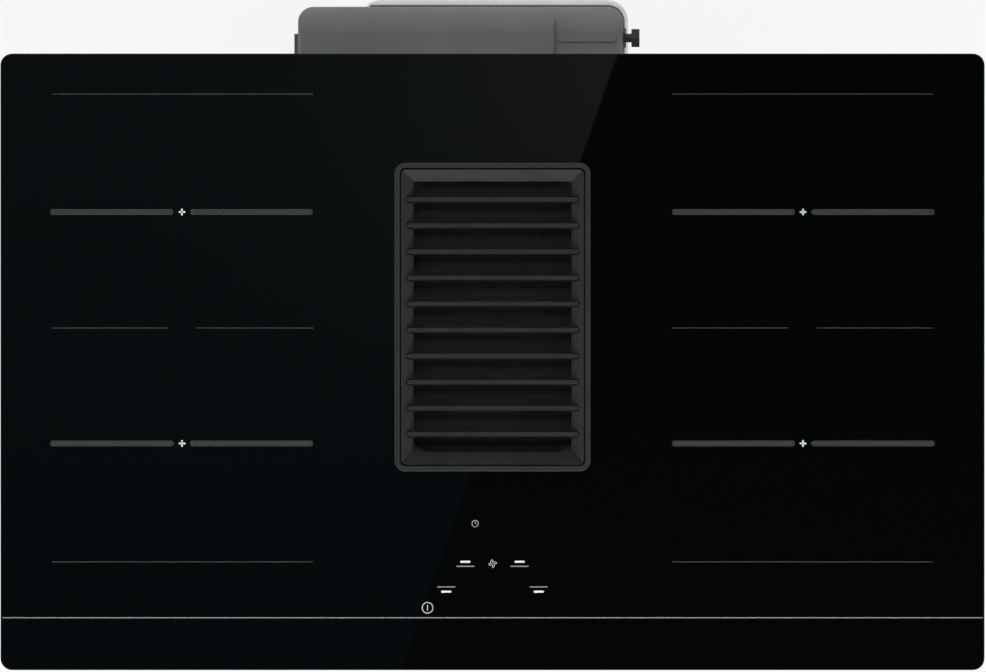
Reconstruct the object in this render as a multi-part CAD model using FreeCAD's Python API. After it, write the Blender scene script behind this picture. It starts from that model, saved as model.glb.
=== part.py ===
"""Vented induction cooktop: a black glass plate with an air intake in its middle, four coils in two sheet
trays, and a fan module that hangs behind the air shaft and blows down into a flat duct.

Millimetres. +X is to the cook's right, +Y to the back, +Z up.
The origin is the middle of the glass, on the worktop surface that the sealing strip rests on.
"""
import FreeCAD
import Part
import math
import os

Vector = FreeCAD.Vector

# Glass plate
GLASS_WIDTH = 830.0
GLASS_DEPTH = 520.0
GLASS_THICKNESS = 4.0
GLASS_CORNER_RADIUS = 10.0
GLASS_BEVEL = 0.6

# Sealing strip between glass and worktop
SEAL_THICKNESS = 1.5
SEAL_WIDTH = 8.0
SEAL_INSET = 3.0

# Trim frame of the air intake, set into the glass
INTAKE_SHIFT = 37.9
FRAME_WIDTH = 165.4
FRAME_DEPTH = 260.4
FRAME_CORNER_RADIUS = 9.0
FRAME_RIM_WIDTH = 4.5
FRAME_PROUD = 1.6
FRAME_BEVEL = 0.6
SLEEVE_WALL = 1.4
LEDGE_WIDTH = 6.0
LEDGE_THICKNESS = 2.0
CUTOUT_CLEARANCE = 0.5

# Cast grille
GRILLE_GAP = 1.2
GRILLE_SINK = 0.4
GRILLE_EDGE_WIDTH = 0.5
GRILLE_SLOPE_WIDTH = 9.8
GRILLE_SLOPE_HEIGHT = 6.5
GRILLE_LIP_HEIGHT = 2.0
GRILLE_CORNER_RADIUS = 4.0
WINDOW_CORNER_CUT = 2.2
BAR_WIDTH = 3.6
BAR_PITCH = 22.0
BAR_SINK = 2.1
BAR_END_CUT = 1.2
BAR_BITE = 5.8
BAR_GROOVE_WIDTH = 0.9
BAR_GROOVE_DEPTH = 1.4
BUFFER_HEIGHT = 1.0
BUFFER_SIZE = 4.0
BUFFER_LENGTH = 12.0

# Air shaft
GASKET_THICKNESS = 1.5
SHAFT_WALL = 2.5
SHAFT_CORNER_CUT = 8.0
SHAFT_FLANGE_WIDTH = 6.0
SHAFT_FLANGE_THICKNESS = 2.5
SHAFT_RIB_HEIGHT = 3.0
SHAFT_RIB_THICKNESS = 2.5
SHAFT_RIB_PITCH = 45.0
BODY_DEPTH = 205.0

# Grease filter
FILTER_CLEARANCE = 1.6
FILTER_DROP = 4.5
FILTER_HEIGHT = 18.0
FILTER_WALL = 1.5
FILTER_LIP_WIDTH = 4.2
FILTER_LIP_THICKNESS = 1.5
FILTER_PAD_THICKNESS = 4.0
FILTER_PAD_CLEARANCE = 0.3
FILTER_SLOT_INSET = 7.0
FILTER_SLOT_WIDTH = 14.0
FILTER_SLOT_WEB = 5.0
LOOP_WIDTH = 36.0
LOOP_HEIGHT = 4.0
LOOP_STRIP = 1.6
REST_WIDTH = 80.0
REST_DEPTH = 5.0
REST_THICKNESS = 4.0

# Drip tray
TRAY_CLEARANCE = 1.6
TRAY_HEIGHT = 22.0
TRAY_WALL = 1.6
TRAY_CORNER_CUT = 10.0
TRAY_GRIP_LENGTH = 60.0
TRAY_GRIP_THICKNESS = 3.0
TRAY_GRIP_HEIGHT = 15.0

# Steel casing trays
SHEET = 1.0
CASING_MARGIN_X = 17.0
CASING_MARGIN_Y = 18.0
CASING_HEIGHT = 53.5
CASING_LIP = 4.0
CASING_SHAFT_GAP = 2.0
VENT_LENGTH = 14.0
VENT_WIDTH = 5.0
VENT_PITCH = 20.0
VENT_DROP = 12.0
GRILL_SLOT_WIDTH = 5.0
GRILL_SLOT_PITCH = 10.5
BOARD_POST_SIZE = 8.0
BOARD_POST_HEIGHT = 5.0

# Cooking zones and coils
ZONE_MARGIN_X = 42.5
ZONE_FRAME_GAP = 68.5
ZONE_MARGIN_REAR = 34.1
ZONE_MARGIN_FRONT = 91.3
COIL_INSET = 6.0
COIL_CORNER_CUT = 40.0
COIL_EYE = 48.0
COIL_EYE_CUT = 14.0
COIL_WINDING_HEIGHT = 5.0
MICA_THICKNESS = 0.5
FORMER_THICKNESS = 6.0
FORMER_MARGIN = 3.0
FERRITE_THICKNESS = 3.6
FERRITE_WIDTH = 12.0
FERRITE_CLEARANCE = 0.2
FERRITES_PER_COIL = 8
SENSOR_SIZE = 12.0
SENSOR_CLEARANCE = 0.4
PLATE_THICKNESS = 1.5
PLATE_MARGIN = 8.0

# Power electronics
BOARD_WIDTH = 150.0
BOARD_THICKNESS = 1.6
BOARD_GAP = 10.0
BOARD_REAR_GAP = 30.0
HEATSINK_WIDTH = 48.0
HEATSINK_HEIGHT = 22.0
HEATSINK_BASE = 4.0
HEATSINK_FIN = 2.0
HEATSINK_PITCH = 7.6
HEATSINK_END_GAP = 40.0
CHOKE_SIZE = 28.0
CHOKE_HEIGHT = 18.0

# Cooling fans
COOLER_SIZE = 80.0
COOLER_HEIGHT = 20.0
COOLER_BORE_RADIUS = 37.0
COOLER_BORE_SIDES = 20
COOLER_HUB_RADIUS = 14.0
COOLER_HUB_SIDES = 10
COOLER_BASE = 3.0
COOLER_ARM_WIDTH = 6.0
COOLER_PIN_RADIUS = 1.5
COOLER_RUNNING_GAP = 0.05
COOLER_TIP_GAP = 1.2
COOLER_FLOOR_GAP = 0.6
COOLER_BLADE_THICKNESS = 1.6
COOLER_BLADE_ANGLE = 38.0
COOLER_BLADES = 5
COOLER_WALL_GAP = 4.0

# Touch controls
TOUCH_WIDTH = 150.0
TOUCH_DEPTH = 96.0
TOUCH_SHIFT = 172.0
TOUCH_BOARD_DROP = 5.0
TOUCH_PAD_SIZE = 10.0
TOUCH_PAD_PITCH_X = 39.0
TOUCH_PAD_PITCH_Y = 36.0
CARRIER_WALL = 2.0
CARRIER_HEIGHT = 8.0

# Mains connection
TERMINAL_WIDTH = 44.0
TERMINAL_DEPTH = 30.0
TERMINAL_HEIGHT = 26.0
TERMINAL_WALL_GAP = 14.0
TERMINAL_WELL_SIZE = 6.0
TERMINAL_WELL_DEPTH = 10.0
TERMINAL_WAYS = 5
MAINS_BORE_RADIUS = 6.0
MAINS_NECK_RADIUS = 8.0
MAINS_HEAD_RADIUS = 13.0
MAINS_HEAD_LENGTH = 10.0
MAINS_NECK_INSIDE = 9.0
GLAND_HOLE_CLEARANCE = 0.2

# Worktop clamps
CLAMP_INSET_X = 16.0
CLAMP_INSET_Y = 60.0
CLAMP_LENGTH = 58.0
CLAMP_WIDTH = 18.0
CLAMP_THICKNESS = 3.0
CLAMP_GAP = 1.0
CLAMP_PIN_RADIUS = 4.0
CLAMP_RUNNING_GAP = 0.06
CLAMP_SEAT_GAP = 0.3
CLAMP_HEAD_RADIUS = 8.0
CLAMP_HEAD_HEIGHT = 3.5
CLAMP_TAB = 9.0

# Fan housing behind the shaft
HOUSING_LEFT = 164.4
HOUSING_RIGHT = 110.5
HOUSING_SEAM = 53.3
HOUSING_SEAM_WIDTH = 1.4
HOUSING_SEAM_DEPTH = 1.2
HOUSING_STEP = 5.0
HOUSING_OVERHANG = 39.4
HOUSING_CLEARANCE = 3.0
HOUSING_WALL = 2.5
HOUSING_CORNER_RADIUS = 13.0
HOUSING_TOP_ROUND = 22.0
HOUSING_SIDE_ROUND = 6.0
HOUSING_COVER = 3.0
STRAP_SHIFT = 13.0
STRAP_WIDTH = 6.0
STRAP_HEIGHT = 1.6
STRAP_RADIUS = 2.4
STRAP_GAP = 3.0
HANGER_SIZE = 12.0
HANGER_INSET_X = 30.0
HANGER_INSET_Y = 16.0
INLET_GASKET_THICKNESS = 4.0
INLET_GASKET_WIDTH = 6.0
PORT_STEP = 4.0
INLET_FLARE = 6.0
INLET_DEPTH = 10.0
INLET_WALL = 1.6

# Scroll and impeller
FAN_AXIS_X = -14.0
SCROLL_WALL = 2.5
SCROLL_GAP = 7.0
SCROLL_GROWTH = 26.0
TONGUE_ANGLE = -40.0
OUTLET_SIDE_GAP = 4.0
IMPELLER_FLOOR_GAP = 14.75
IMPELLER_BLADE_DEPTH = 9.0
IMPELLER_BLADE_THICKNESS = 1.2
IMPELLER_BLADE_RADIUS = 8.0
IMPELLER_BLADES = 16
IMPELLER_BACK = 2.5
IMPELLER_RING = 2.5
IMPELLER_FRONT_GAP = 3.0
IMPELLER_REAR_GAP = 4.0
IMPELLER_HUB_RADIUS = 11.0
IMPELLER_HUB_LENGTH = 26.0
SHAFT_PIN_RADIUS = 3.0
SHAFT_PIN_CLEARANCE = 0.05
MOTOR_MARGIN = 20.0
MOTOR_CORNER_SHARE = 0.29
MOTOR_LENGTH = 32.0
DAMPER_SIZE = 12.0
DAMPER_LENGTH = 4.0
DAMPER_INSET = 11.5
DAMPERS = 3

# Flat-duct collar
COLLAR_WIDTH = 222.0
COLLAR_DEPTH = 89.0
COLLAR_WALL = 2.0
COLLAR_LENGTH = 22.0
COLLAR_RIM = 2.5
COLLAR_RIM_THICKNESS = 3.0
COLLAR_RADIUS = 15.0
COLLAR_SHIFT = 1.5
COLLAR_OVERHANG = 45.0

# Cable gland and spring clips on the fan housing
LEAD_BORE_RADIUS = 2.5
LEAD_NECK_RADIUS = 3.8
LEAD_NECK_LENGTH = 7.0
LEAD_NUT_RADIUS = 8.2
LEAD_NUT_LENGTH = 2.4
LEAD_HEAD_RADIUS = 8.8
LEAD_HEAD_LENGTH = 6.8
LEAD_DROP = 12.0
CLIP_THICKNESS = 3.2
CLIP_HOOK = 2.0
CLIP_HOOK_REACH = 8.0
CLIP_HEIGHT = 16.0
CLIP_DROP = 20.0
CLIP_REAR_GAP = 22.8
CLIP_RIGHT_GAP = 60.0
CLIP_RIGHT_DROP = 50.0

# Sides of a gland's or screw's head
HEAD_SIDES = 6

# Cuts run past the faces that they open by this much
OVERRUN = 1.0

# Heights that several pieces share
GLASS_LOW = SEAL_THICKNESS
GLASS_TOP = GLASS_LOW + GLASS_THICKNESS
FRAME_TOP = GLASS_TOP + FRAME_PROUD
GRILLE_TOP = FRAME_TOP - GRILLE_SINK
GRILLE_LOW = GRILLE_TOP - GRILLE_SLOPE_HEIGHT - GRILLE_LIP_HEIGHT
LEDGE_TOP = GRILLE_LOW - BUFFER_HEIGHT
FRAME_LOW = LEDGE_TOP - LEDGE_THICKNESS
SHAFT_TOP = FRAME_LOW - GASKET_THICKNESS
SHAFT_FLOOR = SHAFT_WALL - BODY_DEPTH
FILTER_TOP = FRAME_LOW - FILTER_DROP
FILTER_LOW = FILTER_TOP - FILTER_HEIGHT
CASING_LOW = GLASS_LOW - CASING_HEIGHT
CASING_FLOOR = CASING_LOW + SHEET
WINDING_TOP = GLASS_LOW - MICA_THICKNESS
FORMER_TOP = WINDING_TOP - COIL_WINDING_HEIGHT
PLATE_TOP = FORMER_TOP - FORMER_THICKNESS
PLATE_LOW = PLATE_TOP - PLATE_THICKNESS
BOARD_LOW = CASING_FLOOR + BOARD_POST_HEIGHT
BOARD_TOP = BOARD_LOW + BOARD_THICKNESS
COOLER_TOP = CASING_FLOOR + COOLER_HEIGHT
TOUCH_BOARD_TOP = GLASS_LOW - TOUCH_BOARD_DROP
TOUCH_BOARD_LOW = TOUCH_BOARD_TOP - BOARD_THICKNESS
CARRIER_LOW = TOUCH_BOARD_LOW - CARRIER_HEIGHT
HOUSING_TOP = CASING_LOW - HOUSING_CLEARANCE
HOUSING_LOW = COLLAR_LENGTH - BODY_DEPTH

# Plan sizes and places that several pieces share
SEAT_WIDTH = FRAME_WIDTH - 2 * FRAME_RIM_WIDTH
SEAT_DEPTH = FRAME_DEPTH - 2 * FRAME_RIM_WIDTH
SLEEVE_WIDTH = SEAT_WIDTH + 2 * SLEEVE_WALL
SLEEVE_DEPTH = SEAT_DEPTH + 2 * SLEEVE_WALL
SLEEVE_RADIUS = FRAME_CORNER_RADIUS - FRAME_RIM_WIDTH + SLEEVE_WALL
GRILLE_WIDTH = SEAT_WIDTH - 2 * GRILLE_GAP
GRILLE_DEPTH = SEAT_DEPTH - 2 * GRILLE_GAP
OPENING_WIDTH = GRILLE_WIDTH - 2 * (GRILLE_EDGE_WIDTH + GRILLE_SLOPE_WIDTH)
OPENING_DEPTH = GRILLE_DEPTH - 2 * (GRILLE_EDGE_WIDTH + GRILLE_SLOPE_WIDTH)
WELL_WIDTH = SEAT_WIDTH - 2 * LEDGE_WIDTH
WELL_DEPTH = SEAT_DEPTH - 2 * LEDGE_WIDTH
SHAFT_WIDTH = WELL_WIDTH + 2 * SHAFT_WALL
SHAFT_DEPTH = WELL_DEPTH + 2 * SHAFT_WALL
FLANGE_WIDTH = SHAFT_WIDTH + 2 * SHAFT_FLANGE_WIDTH
FLANGE_DEPTH = SHAFT_DEPTH + 2 * SHAFT_FLANGE_WIDTH
FILTER_WIDTH = WELL_WIDTH - 2 * FILTER_CLEARANCE
FILTER_DEPTH = WELL_DEPTH - 2 * FILTER_CLEARANCE
TRAY_WIDTH = WELL_WIDTH - 2 * TRAY_CLEARANCE
TRAY_DEPTH = WELL_DEPTH - 2 * (REST_DEPTH + TRAY_CLEARANCE)
CASING_SIDE = GLASS_WIDTH / 2 - CASING_MARGIN_X
CASING_REAR = GLASS_DEPTH / 2 - CASING_MARGIN_Y
CASING_INNER = FLANGE_WIDTH / 2 + CASING_SHAFT_GAP
BRIDGE_REAR_START = INTAKE_SHIFT + FLANGE_DEPTH / 2 + CASING_SHAFT_GAP
BRIDGE_FRONT_END = INTAKE_SHIFT - FLANGE_DEPTH / 2 - CASING_SHAFT_GAP
ZONE_WIDTH = GLASS_WIDTH / 2 - ZONE_MARGIN_X - ZONE_FRAME_GAP - FRAME_WIDTH / 2
ZONE_DEPTH = (GLASS_DEPTH - ZONE_MARGIN_REAR - ZONE_MARGIN_FRONT) / 2
ZONE_X = GLASS_WIDTH / 2 - ZONE_MARGIN_X - ZONE_WIDTH / 2
ZONE_REAR_EDGE = GLASS_DEPTH / 2 - ZONE_MARGIN_REAR
ZONE_MIDDLE_Y = ZONE_REAR_EDGE - ZONE_DEPTH
COIL_WIDTH = ZONE_WIDTH - 2 * COIL_INSET
COIL_DEPTH = ZONE_DEPTH - 2 * COIL_INSET
PLATE_WIDTH = ZONE_WIDTH + 2 * PLATE_MARGIN
COOLER_Y = COOLER_SIZE / 2 + COOLER_WALL_GAP + SHEET - CASING_REAR
BOARD_FRONT = COOLER_Y + COOLER_SIZE / 2 + BOARD_GAP
BOARD_REAR = ZONE_REAR_EDGE - BOARD_REAR_GAP
TERMINAL_X = (CASING_INNER + SHEET + ZONE_X - PLATE_WIDTH / 2) / 2
MAINS_Z = (CASING_FLOOR + GLASS_LOW) / 2
CLAMP_X = CASING_SIDE - CLAMP_INSET_X
CLAMP_Y = CASING_REAR - CLAMP_INSET_Y
CLAMP_TOP = CASING_LOW - CLAMP_GAP
CLAMP_LOW = CLAMP_TOP - CLAMP_THICKNESS
SHAFT_REAR = INTAKE_SHIFT + SHAFT_DEPTH / 2
HOUSING_FRONT = SHAFT_REAR + INLET_GASKET_THICKNESS
HOUSING_SPLIT = HOUSING_FRONT + HOUSING_COVER
HOUSING_REAR = GLASS_DEPTH / 2 + HOUSING_OVERHANG
HOUSING_BACK = HOUSING_REAR - HOUSING_WALL
FAN_ROOM = HOUSING_TOP - HOUSING_LOW - 2 * HOUSING_WALL - SCROLL_WALL / 2
IMPELLER_RADIUS = (FAN_ROOM - SCROLL_GAP - IMPELLER_FLOOR_GAP) / 2
PORT_RADIUS = IMPELLER_RADIUS - PORT_STEP
INLET_RADIUS = PORT_RADIUS - INLET_FLARE
SCROLL_RADIUS = IMPELLER_RADIUS + SCROLL_GAP
FAN_AXIS_Z = HOUSING_TOP - HOUSING_WALL - SCROLL_WALL / 2 - SCROLL_RADIUS
COLLAR_REAR = GLASS_DEPTH / 2 + COLLAR_OVERHANG
COLLAR_Y = COLLAR_REAR - COLLAR_RIM - COLLAR_DEPTH / 2
OUTLET_LEFT = COLLAR_SHIFT - COLLAR_WIDTH / 2 + COLLAR_WALL
OUTLET_RIGHT = HOUSING_RIGHT - HOUSING_WALL - OUTLET_SIDE_GAP
MOTOR_SIZE = IMPELLER_RADIUS + MOTOR_MARGIN
DAMPER_CIRCLE_RADIUS = MOTOR_SIZE / 2 - DAMPER_INSET
MOTOR_REAR = HOUSING_BACK - DAMPER_LENGTH
MOTOR_FRONT = MOTOR_REAR - MOTOR_LENGTH
IMPELLER_FRONT = HOUSING_SPLIT + INLET_DEPTH + IMPELLER_FRONT_GAP
IMPELLER_REAR = MOTOR_FRONT - IMPELLER_REAR_GAP
LEAD_Y = GLASS_DEPTH / 2 + STRAP_SHIFT
LEAD_Z = HOUSING_TOP - HOUSING_STEP - LEAD_DROP

ALONG_X = Vector(1, 0, 0)
ALONG_Y = Vector(0, 1, 0)
ALONG_Z = Vector(0, 0, 1)
ORIGIN = Vector(0, 0, 0)


def block(x_low, x_high, y_low, y_high, z_low, z_high):
    """Box between two corners."""
    return Part.makeBox(x_high - x_low, y_high - y_low, z_high - z_low, Vector(x_low, y_low, z_low))


def rod_x(radius, x_low, x_high, y, z):
    """Round rod along X."""
    return Part.makeCylinder(radius, x_high - x_low, Vector(x_low, y, z), ALONG_X)


def rod_y(radius, y_low, y_high, x, z):
    """Round rod along Y."""
    return Part.makeCylinder(radius, y_high - y_low, Vector(x, y_low, z), ALONG_Y)


def rod_z(radius, z_low, z_high, x, y):
    """Round rod along Z."""
    return Part.makeCylinder(radius, z_high - z_low, Vector(x, y, z_low), ALONG_Z)


def rounded_outline(width, depth, radius, z, x=0, y=0):
    """Closed outline of a rounded rectangle in a level plane, with its middle at x, y."""
    edges = []
    half_width = width / 2
    half_depth = depth / 2
    corners = [(1, 1), (-1, 1), (-1, -1), (1, -1)]
    ends = []
    for turn, (side, end) in enumerate(corners):
        middle = Vector(x + side * (half_width - radius), y + end * (half_depth - radius), z)
        angles = [math.radians(90 * turn + step) for step in (0, 45, 90)]
        points = [middle + Vector(radius * math.cos(a), radius * math.sin(a), 0) for a in angles]
        ends.append(points)
    for turn, points in enumerate(ends):
        edges.append(Part.Arc(*points).toShape())
        edges.append(Part.LineSegment(points[2], ends[(turn + 1) % len(ends)][0]).toShape())
    return Part.Wire(edges)


def rounded_slab(width, depth, radius, z_low, z_high, x=0, y=0):
    """Upright prism on a rounded rectangle."""
    face = Part.Face(rounded_outline(width, depth, radius, z_low, x, y))
    return face.extrude(Vector(0, 0, z_high - z_low))


def polygon_prism(points, direction):
    """Prism on a closed polygon of vectors."""
    return Part.Face(Part.makePolygon(points + points[:1])).extrude(direction)


def cut_corner_slab(width, depth, cut, z_low, z_high, x, y):
    """Upright prism on a rectangle with its corners cut off at 45 degrees."""
    half_width = width / 2
    half_depth = depth / 2
    corners = [
        (half_width - cut, -half_depth), (half_width, cut - half_depth),
        (half_width, half_depth - cut), (half_width - cut, half_depth),
        (cut - half_width, half_depth), (-half_width, half_depth - cut),
        (-half_width, cut - half_depth), (cut - half_width, -half_depth)]
    points = [Vector(x + a, y + b, z_low) for a, b in corners]
    return polygon_prism(points, Vector(0, 0, z_high - z_low))


def many_sided_prism(sides, radius, middle, direction, sideways):
    """Regular prism with its corners on the radius; sideways points from the middle to a corner."""
    across = direction.cross(sideways).normalize()
    angles = [math.radians(360 / sides * n) for n in range(sides)]
    points = [middle + sideways * (radius * math.cos(a)) + across * (radius * math.sin(a)) for a in angles]
    return polygon_prism(points, direction)


def edges_at_height(shape, z):
    """Edges that lie wholly in the level plane at z."""
    tolerance = OVERRUN / 1000
    return [e for e in shape.Edges if all(abs(v.Z - z) < tolerance for v in e.Vertexes)]


def merged(shapes):
    """One solid from shapes that touch or overlap."""
    return shapes[0].fuse(shapes[1:]).removeSplitter()


def mirrored(shape):
    """The same piece on the other side of the middle plane."""
    return shape.mirror(ORIGIN, ALONG_X)


def glass_top():
    """Glass-ceramic plate, bevelled round its upper edge, with the intake cut-out."""
    plate = rounded_slab(GLASS_WIDTH, GLASS_DEPTH, GLASS_CORNER_RADIUS, GLASS_LOW, GLASS_TOP)
    plate = plate.makeChamfer(GLASS_BEVEL, edges_at_height(plate, GLASS_TOP))
    cutout = rounded_slab(
        SLEEVE_WIDTH + 2 * CUTOUT_CLEARANCE, SLEEVE_DEPTH + 2 * CUTOUT_CLEARANCE,
        SLEEVE_RADIUS + CUTOUT_CLEARANCE, GLASS_LOW - OVERRUN, GLASS_TOP + OVERRUN, 0, INTAKE_SHIFT)
    return plate.cut(cutout)


def worktop_seal():
    """Foam strip round the underside of the glass."""
    half_width = GLASS_WIDTH / 2 - SEAL_INSET
    half_depth = GLASS_DEPTH / 2 - SEAL_INSET
    inner_width = half_width - SEAL_WIDTH
    inner_depth = half_depth - SEAL_WIDTH
    strip = block(-half_width, half_width, -half_depth, half_depth, 0, GLASS_LOW)
    return strip.cut(block(
        -inner_width, inner_width, -inner_depth, inner_depth, -OVERRUN, GLASS_LOW + OVERRUN))


def intake_frame():
    """Trim ring on the glass, with a sleeve through the cut-out and a ledge that carries the grille."""
    rim = rounded_slab(FRAME_WIDTH, FRAME_DEPTH, FRAME_CORNER_RADIUS, GLASS_TOP, FRAME_TOP, 0, INTAKE_SHIFT)
    rim = rim.makeChamfer(FRAME_BEVEL, edges_at_height(rim, FRAME_TOP))
    sleeve = rounded_slab(SLEEVE_WIDTH, SLEEVE_DEPTH, SLEEVE_RADIUS, FRAME_LOW, GLASS_TOP, 0, INTAKE_SHIFT)
    seat = rounded_slab(
        SEAT_WIDTH, SEAT_DEPTH, FRAME_CORNER_RADIUS - FRAME_RIM_WIDTH, LEDGE_TOP, FRAME_TOP + OVERRUN,
        0, INTAKE_SHIFT)
    well = cut_corner_slab(
        WELL_WIDTH, WELL_DEPTH, SHAFT_CORNER_CUT, FRAME_LOW - OVERRUN, LEDGE_TOP + OVERRUN, 0, INTAKE_SHIFT)
    return rim.fuse(sleeve).cut(seat).cut(well).removeSplitter()


def bar_plan(y, grow, z_low, z_high):
    """Upright prism on one bar's plan, grown sideways; its ends are rounded off in flats."""
    width = OPENING_WIDTH + 2 * (BAR_BITE + grow)
    return cut_corner_slab(width, BAR_WIDTH + 2 * grow, BAR_END_CUT + grow / 2, z_low, z_high, 0, y)


def grille_funnel(floor):
    """Hollow between the grille's four slopes, mitred at the corners and rounded where it meets the rim."""
    mouth_x = GRILLE_WIDTH / 2 - GRILLE_EDGE_WIDTH
    mouth_y = GRILLE_DEPTH / 2 - GRILLE_EDGE_WIDTH
    throat_x = OPENING_WIDTH / 2
    throat_y = OPENING_DEPTH / 2
    front = INTAKE_SHIFT - mouth_y
    side_slopes = polygon_prism([
        Vector(-throat_x, front, floor), Vector(throat_x, front, floor),
        Vector(mouth_x, front, GRILLE_TOP), Vector(-mouth_x, front, GRILLE_TOP)], Vector(0, 2 * mouth_y, 0))
    end_slopes = polygon_prism([
        Vector(-mouth_x, INTAKE_SHIFT - throat_y, floor), Vector(-mouth_x, INTAKE_SHIFT + throat_y, floor),
        Vector(-mouth_x, INTAKE_SHIFT + mouth_y, GRILLE_TOP), Vector(-mouth_x, front, GRILLE_TOP)],
        Vector(2 * mouth_x, 0, 0))
    rim = rounded_slab(
        2 * mouth_x, 2 * mouth_y, GRILLE_CORNER_RADIUS - GRILLE_EDGE_WIDTH, floor, GRILLE_TOP,
        0, INTAKE_SHIFT)
    return side_slopes.common(end_slopes).common(rim)


def intake_grille():
    """Casting with four inward slopes like a shallow funnel, windows in its floor, and bars between the
    windows whose ends lie in the side slopes with a groove round them."""
    body = rounded_slab(
        GRILLE_WIDTH, GRILLE_DEPTH, GRILLE_CORNER_RADIUS, GRILLE_LOW, GRILLE_TOP, 0, INTAKE_SHIFT)
    floor = GRILLE_LOW + GRILLE_LIP_HEIGHT
    funnel = grille_funnel(floor)
    count = int(OPENING_DEPTH // BAR_PITCH)
    first = INTAKE_SHIFT - BAR_PITCH * (count - 1) / 2
    bar_places = [first + BAR_PITCH * n for n in range(count)]
    middle = block(
        -OPENING_WIDTH / 2, OPENING_WIDTH / 2, INTAKE_SHIFT - OPENING_DEPTH / 2,
        INTAKE_SHIFT + OPENING_DEPTH / 2, GRILLE_LOW, GRILLE_TOP)
    beds = Part.makeCompound([
        bar_plan(y, BAR_GROOVE_WIDTH, GRILLE_LOW, GRILLE_TOP).cut(middle) for y in bar_places])
    grooves = beds.common(funnel.translated(Vector(0, 0, -BAR_GROOVE_DEPTH)))
    window_starts = [INTAKE_SHIFT - OPENING_DEPTH / 2] + [y + BAR_WIDTH / 2 for y in bar_places]
    window_ends = [y - BAR_WIDTH / 2 for y in bar_places] + [INTAKE_SHIFT + OPENING_DEPTH / 2]
    windows = [
        cut_corner_slab(
            OPENING_WIDTH, end - start, WINDOW_CORNER_CUT, GRILLE_LOW - OVERRUN, floor + OVERRUN,
            0, (start + end) / 2)
        for start, end in zip(window_starts, window_ends)]
    ring = body.cut([funnel, grooves] + windows)
    bars = [bar_plan(y, 0, floor - GRILLE_LIP_HEIGHT / 2, GRILLE_TOP - BAR_SINK) for y in bar_places]
    return merged([ring] + bars)


def grille_buffers():
    """Four rubber buffers under the grille's long sides."""
    x = (WELL_WIDTH + GRILLE_WIDTH) / 4
    y = OPENING_DEPTH / 2 - BUFFER_LENGTH
    half = BUFFER_SIZE / 2
    buffers = []
    for side in (-1, 1):
        for end in (-1, 1):
            low = INTAKE_SHIFT + end * y - BUFFER_LENGTH / 2
            buffers.append(block(
                side * x - half, side * x + half, low, low + BUFFER_LENGTH, LEDGE_TOP, GRILLE_LOW))
    return Part.makeCompound(buffers)


def filter_frame():
    """Folded frame of the grease filter: a C section round the mesh pad."""
    outside = cut_corner_slab(
        FILTER_WIDTH, FILTER_DEPTH, SHAFT_CORNER_CUT, FILTER_LOW, FILTER_TOP, 0, INTAKE_SHIFT)
    groove = cut_corner_slab(
        FILTER_WIDTH - 2 * FILTER_WALL, FILTER_DEPTH - 2 * FILTER_WALL, SHAFT_CORNER_CUT,
        FILTER_LOW + FILTER_LIP_THICKNESS, FILTER_TOP - FILTER_LIP_THICKNESS, 0, INTAKE_SHIFT)
    window = cut_corner_slab(
        FILTER_WIDTH - 2 * FILTER_LIP_WIDTH, FILTER_DEPTH - 2 * FILTER_LIP_WIDTH, SHAFT_CORNER_CUT,
        FILTER_LOW - OVERRUN, FILTER_TOP + OVERRUN, 0, INTAKE_SHIFT)
    return outside.cut(groove).cut(window)


def filter_mesh():
    """Open pad held under the upper lip of the filter frame, slotted from side to side."""
    width = FILTER_WIDTH - 2 * (FILTER_WALL + FILTER_PAD_CLEARANCE)
    depth = FILTER_DEPTH - 2 * (FILTER_WALL + FILTER_PAD_CLEARANCE)
    high = FILTER_TOP - FILTER_LIP_THICKNESS
    low = high - FILTER_PAD_THICKNESS
    pad = cut_corner_slab(width, depth, SHAFT_CORNER_CUT, low, high, 0, INTAKE_SHIFT)
    pitch = FILTER_SLOT_WIDTH + FILTER_SLOT_WEB
    rows = int((FILTER_DEPTH - 2 * FILTER_SLOT_INSET) // pitch)
    reach = FILTER_WIDTH / 2 - FILTER_SLOT_INSET - FILTER_SLOT_WEB / 2
    slots = []
    for row in range(rows):
        y = INTAKE_SHIFT + pitch * (row - (rows - 1) / 2)
        slots.append(block(
            -reach, reach, y - FILTER_SLOT_WIDTH / 2, y + FILTER_SLOT_WIDTH / 2,
            low - OVERRUN, high + OVERRUN))
    return pad.cut(slots)


def lift_loop(y):
    """One bent strip that stands on the filter's end lip."""
    half = LOOP_WIDTH / 2
    top = FILTER_TOP + LOOP_HEIGHT
    bow = block(-half, half, y - LOOP_STRIP / 2, y + LOOP_STRIP / 2, FILTER_TOP, top)
    gap = block(
        LOOP_STRIP - half, half - LOOP_STRIP, y - LOOP_STRIP, y + LOOP_STRIP,
        FILTER_TOP - OVERRUN, top - LOOP_STRIP)
    return bow.cut(gap)


def filter_lift_loops():
    """Two strip loops that lift the filter, one at each end, under the grille's slopes."""
    reach = FILTER_DEPTH / 2 - LOOP_STRIP
    return Part.makeCompound([lift_loop(INTAKE_SHIFT + end * reach) for end in (-1, 1)])


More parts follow.
